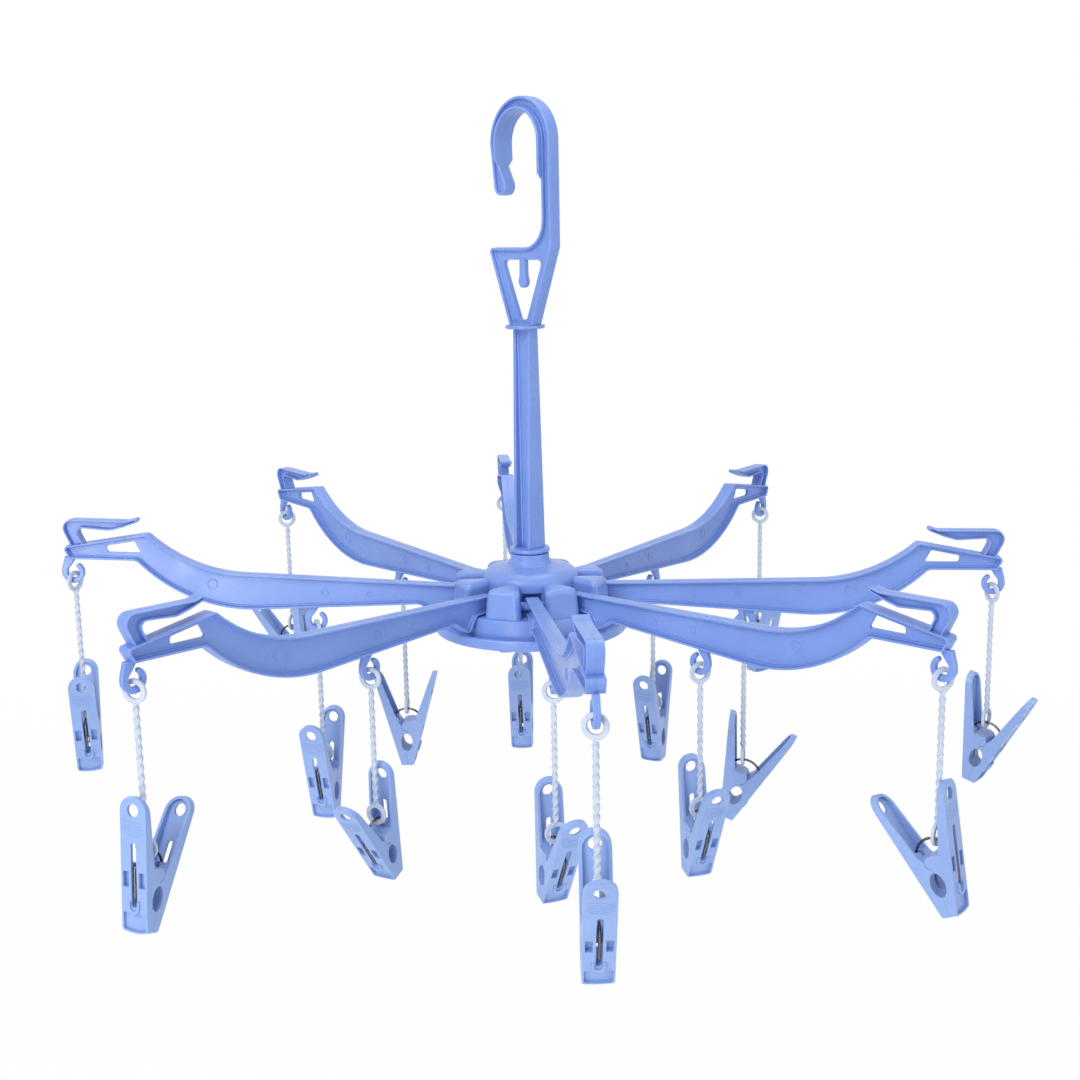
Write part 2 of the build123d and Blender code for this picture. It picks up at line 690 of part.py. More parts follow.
def main():
    os.makedirs("parts", exist_ok=True)
    write(stem(), "stem_hook")
    write(snap_ring(), "snap_ring")
    write(hub_top(), "hub_top")
    write(hub_base(), "hub_base")
    one_arm = arm()
    fixed_half = mirror(peg_half(False), about=Plane.XZ)
    sprung_half = peg_half(True)
    bow = spring()
    for n in range(ARM_COUNT):
        write(arm_place(n) * one_arm, f"arm_{n + 1}")
        for which in EYES:
            name = f"{which}_{n + 1}"
            write(hang(n, which) * link(link_turn(n, which)), f"link_{name}")
            place = peg_place(n, which)
            write(Compound([place * fixed_half, place * bow]), f"peg_spring_{name}")
            write(place * sprung_half, f"peg_jaw_{name}")


main()
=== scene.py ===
import json
from math import atan2, cos, hypot, pi, radians, sin, tan

import bmesh
import bpy
from mathutils import Matrix, Vector

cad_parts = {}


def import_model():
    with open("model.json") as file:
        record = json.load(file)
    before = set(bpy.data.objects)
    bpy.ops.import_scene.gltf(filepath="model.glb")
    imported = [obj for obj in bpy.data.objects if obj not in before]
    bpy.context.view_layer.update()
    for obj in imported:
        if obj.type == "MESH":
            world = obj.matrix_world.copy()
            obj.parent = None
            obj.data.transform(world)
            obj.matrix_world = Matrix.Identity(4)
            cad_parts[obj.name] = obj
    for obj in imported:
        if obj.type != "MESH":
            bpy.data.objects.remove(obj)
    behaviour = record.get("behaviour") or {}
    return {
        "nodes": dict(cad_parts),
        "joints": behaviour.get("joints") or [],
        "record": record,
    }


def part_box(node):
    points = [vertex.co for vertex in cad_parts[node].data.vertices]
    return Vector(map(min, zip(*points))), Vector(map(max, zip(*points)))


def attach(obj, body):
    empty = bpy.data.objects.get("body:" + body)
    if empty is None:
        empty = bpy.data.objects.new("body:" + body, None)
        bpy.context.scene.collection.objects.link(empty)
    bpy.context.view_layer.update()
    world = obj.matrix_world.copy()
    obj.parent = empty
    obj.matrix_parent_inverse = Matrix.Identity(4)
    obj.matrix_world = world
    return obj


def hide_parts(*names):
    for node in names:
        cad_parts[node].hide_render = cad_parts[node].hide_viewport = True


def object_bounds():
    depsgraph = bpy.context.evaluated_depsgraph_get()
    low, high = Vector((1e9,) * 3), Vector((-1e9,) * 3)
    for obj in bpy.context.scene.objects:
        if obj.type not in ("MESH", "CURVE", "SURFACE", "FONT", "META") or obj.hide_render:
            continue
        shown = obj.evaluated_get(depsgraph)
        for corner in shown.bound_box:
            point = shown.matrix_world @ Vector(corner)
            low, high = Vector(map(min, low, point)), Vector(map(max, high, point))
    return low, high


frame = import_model()
cad_box = [[float(v) for v in corner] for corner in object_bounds()]

# Sizes are in millimetres until a mesh is finished, and metres after that.
MM = 0.001
JOINTS = {j["name"]: j for j in frame["joints"]}
MOUNTS = {m["name"]: m for m in frame["record"]["mounts"]}

# ---------------------------------------------------------------- levels and sizes of the mouldings
# The stem and the hub, whose levels go down from the hook's seat on the rail.
SEAT_R = 17.4                   # inside radius of the hook's arch
HOOK_BEAM = 7.3                 # height of the hook's beam, measured in its plane
HOOK_HALF = 4.0                 # half the beam's depth
HOOK_OFFSET = 2.0               # the arch's centre stands this far off the stem's axis
HOOK_YAW = radians(-50.0)       # the hook's plane, turned about the stem from +X
TIP_R = 5.1                     # the hook's rounded tip
TIP_DROP = 23.3                 # arch centre down to that tip
TIP_INSET = 7.7                 # outer side of the arch in to the tip's centre
PAD_HALF = 6.75                 # half the depth of the pad that lies on the rail
PAD_TIP_DROP = 12.0             # arch centre down to the pad's end on the free leg
PAD_BEAM_DROP = 20.5            # the same on the beam
THROAT_HEIGHT = 56.9            # arch centre down to the shoulder bar
SHOULDER_HALF = 26.4            # the shoulder bar's reach from the stem's axis
YOKE_HEIGHT = 43.1              # shoulder bar down to the upper collar
YOKE_FOOT = 9.4                 # half width of the yoke at the collar
YOKE_BAR = 6.9                  # shoulder bar's height above the yoke's window
WINDOW_TOP = 17.1               # half width of that window under the bar
WINDOW_FOOT = 3.2               # and at its foot
TONGUE_DROP = 18.9              # shoulder bar's top down to the tongue's bulb
TONGUE_R = 3.5
TONGUE_HALF = 2.4
COLLAR_R = 11.3
COLLAR_T = 2.0
STEM_LENGTH = 126.6
STEM_WIDTH = 13.8
STEM_FLANGE = 2.2
STEM_TOP_HALF = 3.4             # half width of the flanges, which widen downward
STEM_FOOT_HALF = 6.3
FOOT_COLLAR_R = 11.7
FOOT_COLLAR_T = 2.4
COLLAR_GAP = 0.6                # foot collar above the hub's neck
SPINDLE_R = 6.0
SPINDLE_RUNNING = 0.05          # radial clearance of the hub on the spindle
GROOVE_R = 4.6                  # foot of the snap ring's groove
GROOVE_T = 1.8
SPINDLE_TUBE_R = 9.0
SPINDLE_TUBE = 18.0             # length of the hub's tube on the spindle
RING_PLAY = 0.2                 # that tube above the snap ring
NECK_HEIGHT = 6.6               # hub neck's top down to the dome
BLOCK_DROP = 13.0               # hub neck's top down to the blocks
BASE_T = 2.0                    # plate of the lower shell
RIM_DROP = 9.3                  # split between the shells down to the rim's top
BASE_HEIGHT = 15.4              # the same to the rim's foot
GROOVE_DEPTH = 2.6              # the groove between the skirt and the rim
PARTING_HALF = 0.3              # half width of the mould's parting ridge

ARCH_Z = -SEAT_R
SHOULDER_Z = ARCH_Z - THROAT_HEIGHT
COLLAR_Z = SHOULDER_Z - YOKE_HEIGHT
STEM_TOP = COLLAR_Z - COLLAR_T
STEM_FOOT = STEM_TOP - STEM_LENGTH
SPINDLE_TOP = STEM_FOOT - FOOT_COLLAR_T
NECK_Z = SPINDLE_TOP - COLLAR_GAP
DOME_Z = NECK_Z - NECK_HEIGHT
BLOCK_Z = NECK_Z - BLOCK_DROP
RING_TOP = NECK_Z - SPINDLE_TUBE - RING_PLAY
SPLIT_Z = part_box("hub_top")[0].z / MM
DECK_Z = SPLIT_Z - BASE_T
RIM_Z = SPLIT_Z - RIM_DROP
RIM_FOOT_Z = SPLIT_Z - BASE_HEIGHT
GROOVE_Z = RIM_Z - GROOVE_DEPTH

ARM_COUNT = 8
ARM_PITCH = 2 * pi / ARM_COUNT
SLOT_HALF = 6.0                 # half width of an arm's slot
DOME_R = 28.2
DOME_BEND = 7.5                 # rounding of the dome's shoulder
DOME_WALL = 7.6                 # the drum's wall where the slots' mouths are cut
BLOCK_OUT = 45.6                # hub axis to a block's outer face
DISH_HOLE_R = 20.0
SKIRT_R = 48.0
DISH_R = 56.5

# An arm's own frame: x outward from its hinge, z up, and u inward from its tip.
TIP_X = 235.0
TIP_Z = 18.0
ROOT_R = 5.0
ROOT_HALF = 3.75                # half width of the flanges at the root
ARM_HALF = 4.5                  # half width of the flanges further out
ARM_WEB_HALF = 1.0
STOP_X = 12.6                   # where the lower flange steps down outside the skirt
STOP_DROP = 8.2
BELLY = (125.0, -11.0)          # where the lower flange starts to sweep up
BELLY_RUN = (95.0, -4.37)       # its direction there
BACK = (133.0, 10.0)            # the same on the upper flange
BACK_RUN = (133.0, 5.0)
LOWER_SLOPE = 0.046             # fall of the lower flange from the stop to the belly
CLIP_HALF = 4.0
TRUNNION_R = 2.5
TRUNNION_HALF = 10.4
EYE_U = 1.4                     # the outer peg's hook, inward from the tip
EYE_DROP = 8.4                  # hook's centre below the lower flange
EYE_IN_R = 3.4
EYE_BAR = 3.6
EYE_MOUTH = 128                 # direction of the hook's free end, from straight outward
MID_HOOK_X = 91.0
PIN_MARKS = ((152.0, 3.4, 3.2), (86.0, -0.6, 2.2), (60.0, -1.4, 1.6))   # x, z, radius

LINK_LENGTH = 76.5              # between the centres of a link's rings
LINK_R = 1.3
TWIST_PITCH = 10.2
LOOP_OUT_R = 6.1
LOOP_HOLE_R = 3.6
LOOP_TWIST = radians(25.0)      # upper ring's turn from square across the arm's hook
BACK_TURNED = ("outer_1", "inner_1", "outer_2", "inner_2", "outer_6", "outer_7")

# A peg's own frame: x along the fulcrum, y out of the half that opens, z up.
PEG_WIDTH = 14.5
HANDLE = 36.0                   # fulcrum to the handle's end
JAW = 28.0                      # fulcrum to the jaw's end
SPREAD = radians(15.2)          # each half leans this far from the peg's middle plane
SEAM_GAP = 0.04                 # each half stops this far short of that plane
JAW_T = 3.6
HANDLE_T = 3.1
CHANNEL_T = 1.5                 # plate and walls of a half's channel
CHANNEL_FOOT = 5.0
FULCRUM_R = 3.2
WIRE_R = 0.7
WIRE_ARC_R = 10.3               # the spring's bow over the fulcrum
WIRE_ARC_HALF = radians(52)
WIRE_FOOT = -11.5
GRIP_Z = -10.9                  # centre of the oval hole between the jaws
GRIP_WIDE = 3.9
GRIP_TALL = 6.0
EYELET_R = 3.1
EYELET_INSET = 6.6
SPRING_SLOT = 1.5               # half width of the slot that the spring passes through
SLOT_TOP = 14.5
SLOT_FOOT = -15.5
POCKET_X = 4.5                  # the two small pockets beside the spring's slot
RIDGES = 5                      # finger ridges across the handle
RIDGE_FOOT = 18.4
RIDGE_PITCH = 1.6
THROUGH = 40.0                  # half thickness of a cutting plate that goes right through


# ---------------------------------------------------------------- drawing outlines
def polar(r, angle):
    return (r * cos(radians(angle)), r * sin(radians(angle)))


def rect(x0, y0, x1, y1, r):
    return [(x0, y0, r), (x1, y0, r), (x1, y1, r), (x0, y1, r)]


def arc(cx, cy, r, start, end, n):
    """Points on an arc, from one angle to another in degrees."""
    turns = [radians(start + (end - start) * k / n) for k in range(n + 1)]
    return [(cx + r * cos(a), cy + r * sin(a)) for a in turns]


def tangent_arc(p0, along, p1, n):
    """Points on the arc that leaves p0 in a direction and ends at p1."""
    length = hypot(*along)
    nx, ny = -along[1] / length, along[0] / length
    cx, cy = p1[0] - p0[0], p1[1] - p0[1]
    r = (cx * cx + cy * cy) / (2 * (cx * nx + cy * ny))
    mx, my = p0[0] + nx * r, p0[1] + ny * r
    a0 = atan2(p0[1] - my, p0[0] - mx)
    a1 = atan2(p1[1] - my, p1[0] - mx)
    while a1 - a0 > pi:
        a1 -= 2 * pi
    while a1 - a0 < -pi:
        a1 += 2 * pi
    return [
        (mx + abs(r) * cos(a0 + (a1 - a0) * k / n), my + abs(r) * sin(a0 + (a1 - a0) * k / n))
        for k in range(n + 1)
    ]


def rounded(points, n=5, close=True):
    """An outline whose corners, given as (x, y, radius), are turned into arcs."""
    out = []
    count = len(points)
    for i, p in enumerate(points):
        r = p[2] if len(p) > 2 else 0
        if r == 0 or (not close and i in (0, count - 1)):
            out.append((p[0], p[1]))
            continue
        a = Vector(points[i - 1][:2]) - Vector(p[:2])
        b = Vector(points[(i + 1) % count][:2]) - Vector(p[:2])
        half = a.angle(b) / 2
        if half > radians(89):
            out.append((p[0], p[1]))
            continue
        reach = min(r / tan(half), a.length * 0.49, b.length * 0.49)
        r = reach * tan(half)
        a.normalize()
        b.normalize()
        mid = Vector(p[:2]) + (a + b).normalized() * (r / sin(half))
        start = Vector(p[:2]) + a * reach - mid
        end = Vector(p[:2]) + b * reach - mid
        turn = start.angle_signed(end)
        for k in range(n + 1):
            t = -turn * k / n
            x = start.x * cos(t) - start.y * sin(t)
            y = start.x * sin(t) + start.y * cos(t)
            out.append((mid.x + x, mid.y + y))
    return out


def inset(points, d):
    """The outline moved inward by d all round: outer corners get a smaller radius, inner ones a larger."""
    corners = [Vector(p[:2]) for p in points]
    area = sum(a.x * b.y - b.x * a.y for a, b in zip(corners, corners[1:] + corners[:1]))
    side = 1 if area > 0 else -1
    out = []
    for i, p in enumerate(points):
        a = (corners[i] - corners[i - 1]).normalized()
        b = (corners[(i + 1) % len(corners)] - corners[i]).normalized()
        m = (Vector((-a.y, a.x)) + Vector((-b.y, b.x))) * side
        m *= d / max(m.dot(m) / 2, 0.2)
        r = p[2] if len(p) > 2 else 0
        if r:
            r = max(r - d, 0.3) if (a.x * b.y - a.y * b.x) * side > 0 else r + d
        out.append((corners[i].x + m.x, corners[i].y + m.y, r))
    return out


# ---------------------------------------------------------------- making meshes
# HERE keeps a plate flat; XZ and YZ stand it up in those planes, its thickness along Y or X.
HERE = Matrix.Identity(4)
XZ = Matrix(((1, 0, 0, 0), (0, 0, -1, 0), (0, 1, 0, 0), (0, 0, 0, 1)))
YZ = Matrix(((0, 0, 1, 0), (1, 0, 0, 0), (0, 1, 0, 0), (0, 0, 0, 1)))
SHARP_ANGLE = radians(32)


def slab(loops, half, bevel, turn=XZ, steps=2):
    """Outlines, holes included, made into a plate of thickness 2 * half with rounded edges."""
    curve = bpy.data.curves.new("slab", "CURVE")
    curve.dimensions = "2D"
    curve.fill_mode = "BOTH"
    curve.extrude = half - bevel
    curve.bevel_depth = bevel
    curve.bevel_resolution = steps
    curve.offset = -bevel
    for loop in loops:
        line = rounded(loop)
        spline = curve.splines.new("POLY")
        spline.points.add(len(line) - 1)
        for point, (x, y) in zip(spline.points, line):
            point.co = (x, y, 0, 1)
        spline.use_cyclic_u = True
    holder = bpy.data.objects.new("slab", curve)
    mesh = bpy.data.meshes.new_from_object(holder)
    bpy.data.objects.remove(holder)
    bpy.data.curves.remove(curve)
    mesh.transform(turn)
    return mesh


def ring_layers(layers, closed=False):
    """A skin over loops of points that all have the same count, capped unless it closes on itself."""
    bm = bmesh.new()
    rows = [[bm.verts.new(p) for p in layer] for layer in layers]
    pairs = list(zip(rows, rows[1:]))
    if closed:
        pairs.append((rows[-1], rows[0]))
    for low, high in pairs:
        for k in range(len(low)):
            j = (k + 1) % len(low)
            bm.faces.new((low[k], low[j], high[j], high[k]))
    if not closed:
        bm.faces.new(list(reversed(rows[0])))
        bm.faces.new(rows[-1])
    bmesh.ops.recalc_face_normals(bm, faces=bm.faces)
    mesh = bpy.data.meshes.new("rings")
    bm.to_mesh(mesh)
    bm.free()
    return mesh


def lathe(profile, sides=96):
    """A closed profile of (radius, height) turned about the vertical axis."""
    turns = [2 * pi * k / sides for k in range(sides)]
    layers = [[(r * cos(a), r * sin(a), z) for a in turns] for r, z in profile]
    return ring_layers(layers, closed=True)


def tube(path, r, sides=10, squeeze=None):
    """A bar along points. Squeeze gives its width and depth shares and its turn at a length along it."""
    points = [Vector(p) for p in path]
    up = Vector((1, 0, 0))
    layers = []
    lengths = [0.0]
    for a, b in zip(points, points[1:]):
        lengths.append(lengths[-1] + (b - a).length)
    for i, p in enumerate(points):
        ahead = points[min(i + 1, len(points) - 1)] - points[max(i - 1, 0)]
        ahead.normalize()
        u = (up - ahead * up.dot(ahead)).normalized()
        v = ahead.cross(u)
        up = u
        w, d, turn = squeeze(lengths[i]) if squeeze else (1, 1, 0)
        layer = []
        for k in range(sides):
            a = 2 * pi * k / sides
            x, y = r * w * cos(a), r * d * sin(a)
            x, y = x * cos(turn) - y * sin(turn), x * sin(turn) + y * cos(turn)
            layer.append(p + u * x + v * y)
        layers.append(layer)
    return ring_layers(layers)


def moved(mesh, matrix):
    mesh.transform(matrix)
    return mesh


def shifted(mesh, x, y, z):
    return moved(mesh, Matrix.Translation((x, y, z)))


def turned(mesh, angle, axis="Z"):
    return moved(mesh, Matrix.Rotation(angle, 4, axis))


def basis(x, y, z, at):
    """The frame with these axes and this origin."""
    m = Matrix.Identity(4)
    for k, v in enumerate((x, y, z, at)):
        m.col[k][:3] = v
    return m


def joined(*meshes):
    """Several meshes made into one, and the loose ones removed."""
    bm = bmesh.new()
    for mesh in meshes:
        bm.from_mesh(mesh)
    out = bpy.data.meshes.new("joined")
    bm.to_mesh(out)
    bm.free()
    for mesh in set(meshes):
        bpy.data.meshes.remove(mesh)
    return out


def carved(mesh, cuts, keep=(), bevel=0.0):
    """A mesh cut by others and kept only inside others, with its sharp edges then eased."""
    target = bpy.data.objects.new("carved", mesh)
    bpy.context.collection.objects.link(target)
    tools = []
    for other, operation in [(m, "INTERSECT") for m in keep] + [(m, "DIFFERENCE") for m in cuts]:
        tool = bpy.data.objects.new("tool", other)
        bpy.context.collection.objects.link(tool)
        tools.append(tool)
        step = target.modifiers.new("cut", "BOOLEAN")
        step.operation = operation
        step.solver = "EXACT"
        step.object = tool
    if bevel:
        step = target.modifiers.new("ease", "BEVEL")
        step.width = bevel
        step.segments = 2
        step.limit_method = "ANGLE"
        step.angle_limit = radians(38)
        step.miter_outer = "MITER_ARC"
    bpy.context.view_layer.update()
    graph = bpy.context.evaluated_depsgraph_get()
    result = bpy.data.meshes.new_from_object(target.evaluated_get(graph))
    for used in [target, *tools]:
        old = used.data
        bpy.data.objects.remove(used)
        bpy.data.meshes.remove(old)
    return result


def smoothed(mesh):
    mesh.polygons.foreach_set("use_smooth", [True] * len(mesh.polygons))
    mesh.set_sharp_from_angle(angle=SHARP_ANGLE)


def piece(name, mesh, place, body, material, nodes=()):
    """A finished piece in the frame: placed, coloured, riding on its body and standing for its nodes."""
    mesh = mesh.copy()
    mesh.transform(place)
    mesh.transform(Matrix.Scale(MM, 4))
    mesh.name = name
    mesh.materials.clear()
    mesh.materials.append(material)
    smoothed(mesh)
    thing = bpy.data.objects.new(name, mesh)
    bpy.context.collection.objects.link(thing)
    shade = thing.modifiers.new("shade", "WEIGHTED_NORMAL")
    shade.keep_sharp = True
    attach(thing, body)
    if nodes:
        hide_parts(*nodes)
    return thing


# ---------------------------------------------------------------- materials
def shader(name):
    material = bpy.data.materials.new(name)
    material.use_nodes = True
    tree = material.node_tree
    return material, tree, tree.nodes["Principled BSDF"]


def noise(tree, scale, detail, where):
    node = tree.nodes.new("ShaderNodeTexNoise")
    node.inputs["Scale"].default_value = scale
    node.inputs["Detail"].default_value = detail
    tree.links.new(where, node.inputs["Vector"])
    return node.outputs["Fac"]


def ramp(tree, value, stops):
    node = tree.nodes.new("ShaderNodeValToRGB")
    bands = node.color_ramp.elements
    while len(bands) < len(stops):
        bands.new(0.5)
    for band, (place, colour) in zip(bands, stops):
        band.position = place
        band.color = (*colour, 1)
    tree.links.new(value, node.inputs["Fac"])
    return node.outputs["Color"]


def grey(low, high):
    return [(0.3, (low, low, low)), (0.7, (high, high, high))]


def moulded(name, dark, light, rough, grain, subsurface):
    """Injection-moulded plastic: flow marks in its colour, a faint skin, and uneven sheen."""
    material, tree, surface = shader(name)
    where = tree.nodes.new("ShaderNodeTexCoord").outputs["Object"]
    flow = noise(tree, 22, 3, where)
    tree.links.new(ramp(tree, flow, [(0.3, dark), (0.7, light)]), surface.inputs["Base Color"])
    sheen = noise(tree, 75, 4, where)
    tree.links.new(ramp(tree, sheen, grey(*rough)), surface.inputs["Roughness"])
    skin = noise(tree, grain, 2, where)
    bump = tree.nodes.new("ShaderNodeBump")
    bump.inputs["Strength"].default_value = 0.12
    bump.inputs["Distance"].default_value = 0.00012
    tree.links.new(skin, bump.inputs["Height"])
    tree.links.new(bump.outputs["Normal"], surface.inputs["Normal"])
    surface.inputs["IOR"].default_value = 1.49
    surface.inputs["Subsurface Weight"].default_value = subsurface
    surface.inputs["Subsurface Radius"].default_value = (0.3, 0.5, 1.0)
    surface.inputs["Subsurface Scale"].default_value = 0.002
    return material


def steel():
    material, tree, surface = shader("spring_steel")
    where = tree.nodes.new("ShaderNodeTexCoord").outputs["Object"]
    drawn = noise(tree, 900, 3, where)
    # The wire's dark base colour is painted shade: it stands in for the dark surroundings that the real wire
    # reflects, which this white world doesn't give; the noise varies its tone at random.
    tone = [(0.3, (0.08, 0.073, 0.078)), (0.7, (0.26, 0.235, 0.225))]
    tree.links.new(ramp(tree, drawn, tone), surface.inputs["Base Color"])
    tree.links.new(ramp(tree, noise(tree, 260, 2, where), grey(0.16, 0.32)), surface.inputs["Roughness"])
    surface.inputs["Metallic"].default_value = 1.0
    return material


def clear_nylon():
    """Natural nylon, cloudy and a little see-through."""
    material, tree, surface = shader("link_clear")
    where = tree.nodes.new("ShaderNodeTexCoord").outputs["Object"]
    cloud = noise(tree, 70, 2, where)
    tone = [(0.3, (0.52, 0.6, 0.73)), (0.7, (0.59, 0.66, 0.78))]
    tree.links.new(ramp(tree, cloud, tone), surface.inputs["Base Color"])
    tree.links.new(ramp(tree, noise(tree, 400, 2, where), grey(0.32, 0.5)), surface.inputs["Roughness"])
    surface.inputs["IOR"].default_value = 1.4
    surface.inputs["Transmission Weight"].default_value = 0.12
    return material


BODY_BLUE = moulded("body_blue", (0.162, 0.27, 0.64), (0.19, 0.31, 0.69), (0.24, 0.38), 900, 0.1)
PEG_BLUE = moulded("peg_blue", (0.235, 0.352, 0.665), (0.268, 0.397, 0.715), (0.3, 0.44), 1100, 0.1)
STEEL = steel()
NYLON = clear_nylon()


# ---------------------------------------------------------------- stem with its hook
def i_beam(outline, holes, flange, web_half, flange_half, edge, fillet):
    """A plate with a wide flange along its edge, a soft fillet inside it and the mould's parting line."""
    parts = [
        slab([inset(outline, 0.13), inset(outline, flange)], flange_half, edge),
        parting_line([outline, inset(outline, 0.4)]),
        slab([inset(outline, flange * 0.5), *holes], web_half, 0.1),
    ]
    if fillet:
        band = [inset(outline, flange * 0.5), inset(outline, flange + fillet)]
        parts.append(slab(band, web_half + fillet, 0.6))
    return joined(*parts)


def parting_line(loops):
    """The fine ridge that the two halves of a mould leave."""
    return slab(loops, PARTING_HALF, 0.1)


def hook_outline():
    """The hook and its yoke in one run: over the arch, round the tip, back under, and down to the collar."""
    r_in, r_out = SEAT_R, SEAT_R + HOOK_BEAM
    beam_in, beam_out = HOOK_OFFSET + r_in, HOOK_OFFSET + r_out
    leg_in = HOOK_OFFSET - r_in
    tip_x, tip_z = HOOK_OFFSET - r_out + TIP_INSET, ARCH_Z - TIP_DROP
    return [
        *arc(HOOK_OFFSET, ARCH_Z, r_out, 0, 180, 40),
        *arc(tip_x, tip_z, TIP_R, 180, 358, 18),
        (tip_x + TIP_R, tip_z + 1.6, 4),
        (leg_in + 0.4, ARCH_Z - PAD_TIP_DROP, 6),
        *arc(HOOK_OFFSET, ARCH_Z, r_in, 180, 0, 36),
        (beam_in, SHOULDER_Z, 15),
        (-SHOULDER_HALF, SHOULDER_Z, 2.6),
        (-YOKE_FOOT, COLLAR_Z - 1),
        (YOKE_FOOT, COLLAR_Z - 1),
        (beam_out, SHOULDER_Z, 9),
    ]


def yoke_window():
    """The opening between the yoke's two legs."""
    top = SHOULDER_Z - YOKE_BAR
    foot = COLLAR_Z + 3
    return [
        (-WINDOW_TOP, top, 2.5),
        (WINDOW_TOP, top, 2.5),
        (WINDOW_FOOT, foot, 1.8),
        (-WINDOW_FOOT, foot, 1.8),
    ]


def tongue():
    """The rounded tongue that hangs in the yoke's window."""
    top = SHOULDER_Z - YOKE_BAR + 0.9
    drop = SHOULDER_Z - TONGUE_DROP
    return [
        *arc(0, drop, TONGUE_R, 145, 395, 20),
        (TONGUE_HALF + 0.1, drop + 4.4, 3),
        (TONGUE_HALF, top),
        (-TONGUE_HALF, top),
        (-TONGUE_HALF - 0.1, drop + 4.4, 3),
    ]


def pad_band(near, far, half, edge):
    """A band along the arch, between two distances outside the seat; a deep one narrows at its ends."""
    left, right = HOOK_OFFSET - SEAT_R, HOOK_OFFSET + SEAT_R
    beam_end, tip_end, taper = ARCH_Z - PAD_BEAM_DROP, ARCH_Z - PAD_TIP_DROP, 3.4
    band = [
        (right + near, beam_end + taper),
        (right + near, beam_end),
        (right + far, beam_end),
        (right + far, beam_end + taper),
        *arc(HOOK_OFFSET, ARCH_Z, SEAT_R + far, 0, 180, 36),
        (left - far + 0.3, tip_end + taper),
        (left - far + 0.4, tip_end),
        (left - near + 0.4, tip_end),
        (left - near + 0.3, tip_end + taper),
        *arc(HOOK_OFFSET, ARCH_Z, SEAT_R + near, 180, 0, 36),
    ]
    mesh = slab([band], half, edge)
    end_half = min(half, HOOK_HALF - 0.1)
    for vertex in mesh.vertices:
        end = beam_end if vertex.co.x > 0 else tip_end
        share = min(max((vertex.co.z - end) / taper, 0), 1)
        vertex.co.y *= (end_half + (half - end_half) * share) / half
    return mesh


def stem_column():
    """The stem's two tapering flanges, their parting lines, the web between and its fillets."""
    parts = []
    half = STEM_WIDTH / 2
    flange = [
        (-STEM_TOP_HALF, STEM_TOP),
        (STEM_TOP_HALF, STEM_TOP),
        (STEM_FOOT_HALF, STEM_FOOT),
        (-STEM_FOOT_HALF, STEM_FOOT),
    ]
    seam = rect(-PARTING_HALF, STEM_FOOT, PARTING_HALF, STEM_TOP, 0)
    for side in (-1, 1):
        plate = slab([flange], STEM_FLANGE / 2, 0.55, YZ)
        parts.append(shifted(plate, side * (half - STEM_FLANGE / 2), 0, 0))
        parts.append(shifted(slab([seam], 0.3, 0.12, YZ), side * (half - 0.18), 0, 0))
    parts.append(slab([rect(1 - half, STEM_FOOT, half - 1, STEM_TOP, 0)], 1.3, 0.1))
    for near, far in ((1 - half, 1 + STEM_FLANGE - half), (half - 1 - STEM_FLANGE, half - 1)):
        parts.append(slab([rect(near, STEM_FOOT, far, STEM_TOP, 0)], 2.1, 0.8))
    return joined(*parts)


def spindle():
    """The pin that the hub turns on, with the snap ring's groove and a tapered end."""
    groove_foot = RING_TOP - GROOVE_T
    profile = [
        (1.0, SPINDLE_TOP + 0.5),
        (SPINDLE_R, SPINDLE_TOP + 0.5),
        (SPINDLE_R, RING_TOP),
        (GROOVE_R, RING_TOP),
        (GROOVE_R, groove_foot),
        (SPINDLE_R, groove_foot),
        (SPINDLE_R, groove_foot - 2.0),
        (SPINDLE_R - 1.0, groove_foot - 3.0),
        (1.0, groove_foot - 3.0),
    ]
    return lathe(profile, 48)


def stem_mesh():
    parts = [
        i_beam(hook_outline(), [yoke_window()], 1.9, 1.5, HOOK_HALF, 0.85, 0.5),
        slab([tongue()], 1.5, 0.5),
        pad_band(-0.1, 1.5, PAD_HALF, 0.7),
        pad_band(-0.25, 0.4, PARTING_HALF, 0.1),
        stem_column(),
        disc(COLLAR_R, COLLAR_Z, STEM_TOP, 0.6),
        disc(FOOT_COLLAR_R, STEM_FOOT, SPINDLE_TOP, 0.6),
        spindle(),
    ]
    return turned(joined(*parts), HOOK_YAW)


def disc(r, top, foot, edge):
    """A flat round collar with eased edges."""
    profile = [(0.5, foot)]
    profile += [(r - edge + edge * cos(a), foot + edge + edge * sin(a)) for a in (-pi / 2, -pi / 4, 0)]
    profile += [(r - edge + edge * cos(a), top - edge + edge * sin(a)) for a in (0, pi / 4, pi / 2)]
    profile += [(0.5, top)]
    return lathe(profile, 64)


# ---------------------------------------------------------------- hub
def block_outline(d):
    """One block of the hub between two arms' slots, seen from above and drawn in by d."""
    mid = ARM_PITCH / 2
    line = []
    for u, r in ((DOME_R - 6.2, 0), (DOME_R - 2.2, 0), (BLOCK_OUT - d, 3.2 - 0.3 * d)):
        wall = max(u, DOME_R - 2.2) * tan(mid) - (SLOT_HALF + d) / cos(mid)
        line.append((u, max(wall, 0.5), r))
    near = [(u * cos(mid) + v * sin(mid), u * sin(mid) - v * cos(mid), r) for u, v, r in line]
    far = [(u * cos(mid) - v * sin(mid), u * sin(mid) + v * cos(mid), r) for u, v, r in reversed(line)]
    return near + far


def block_mesh():
    """A block that narrows a little upward, with a broad round edge at its top."""
    draft, edge, steps = 0.9, 3.6, 7
    layers = []
    for k in range(-1, steps + 1):
        a = radians(90 * max(k, 0) / steps)
        z = SPLIT_Z if k < 0 else BLOCK_Z - edge * (1 - sin(a))
        d = 0 if k < 0 else draft + edge * (1 - cos(a))
        layers.append([(x, y, z) for x, y in rounded(block_outline(d))])
    return ring_layers(layers)


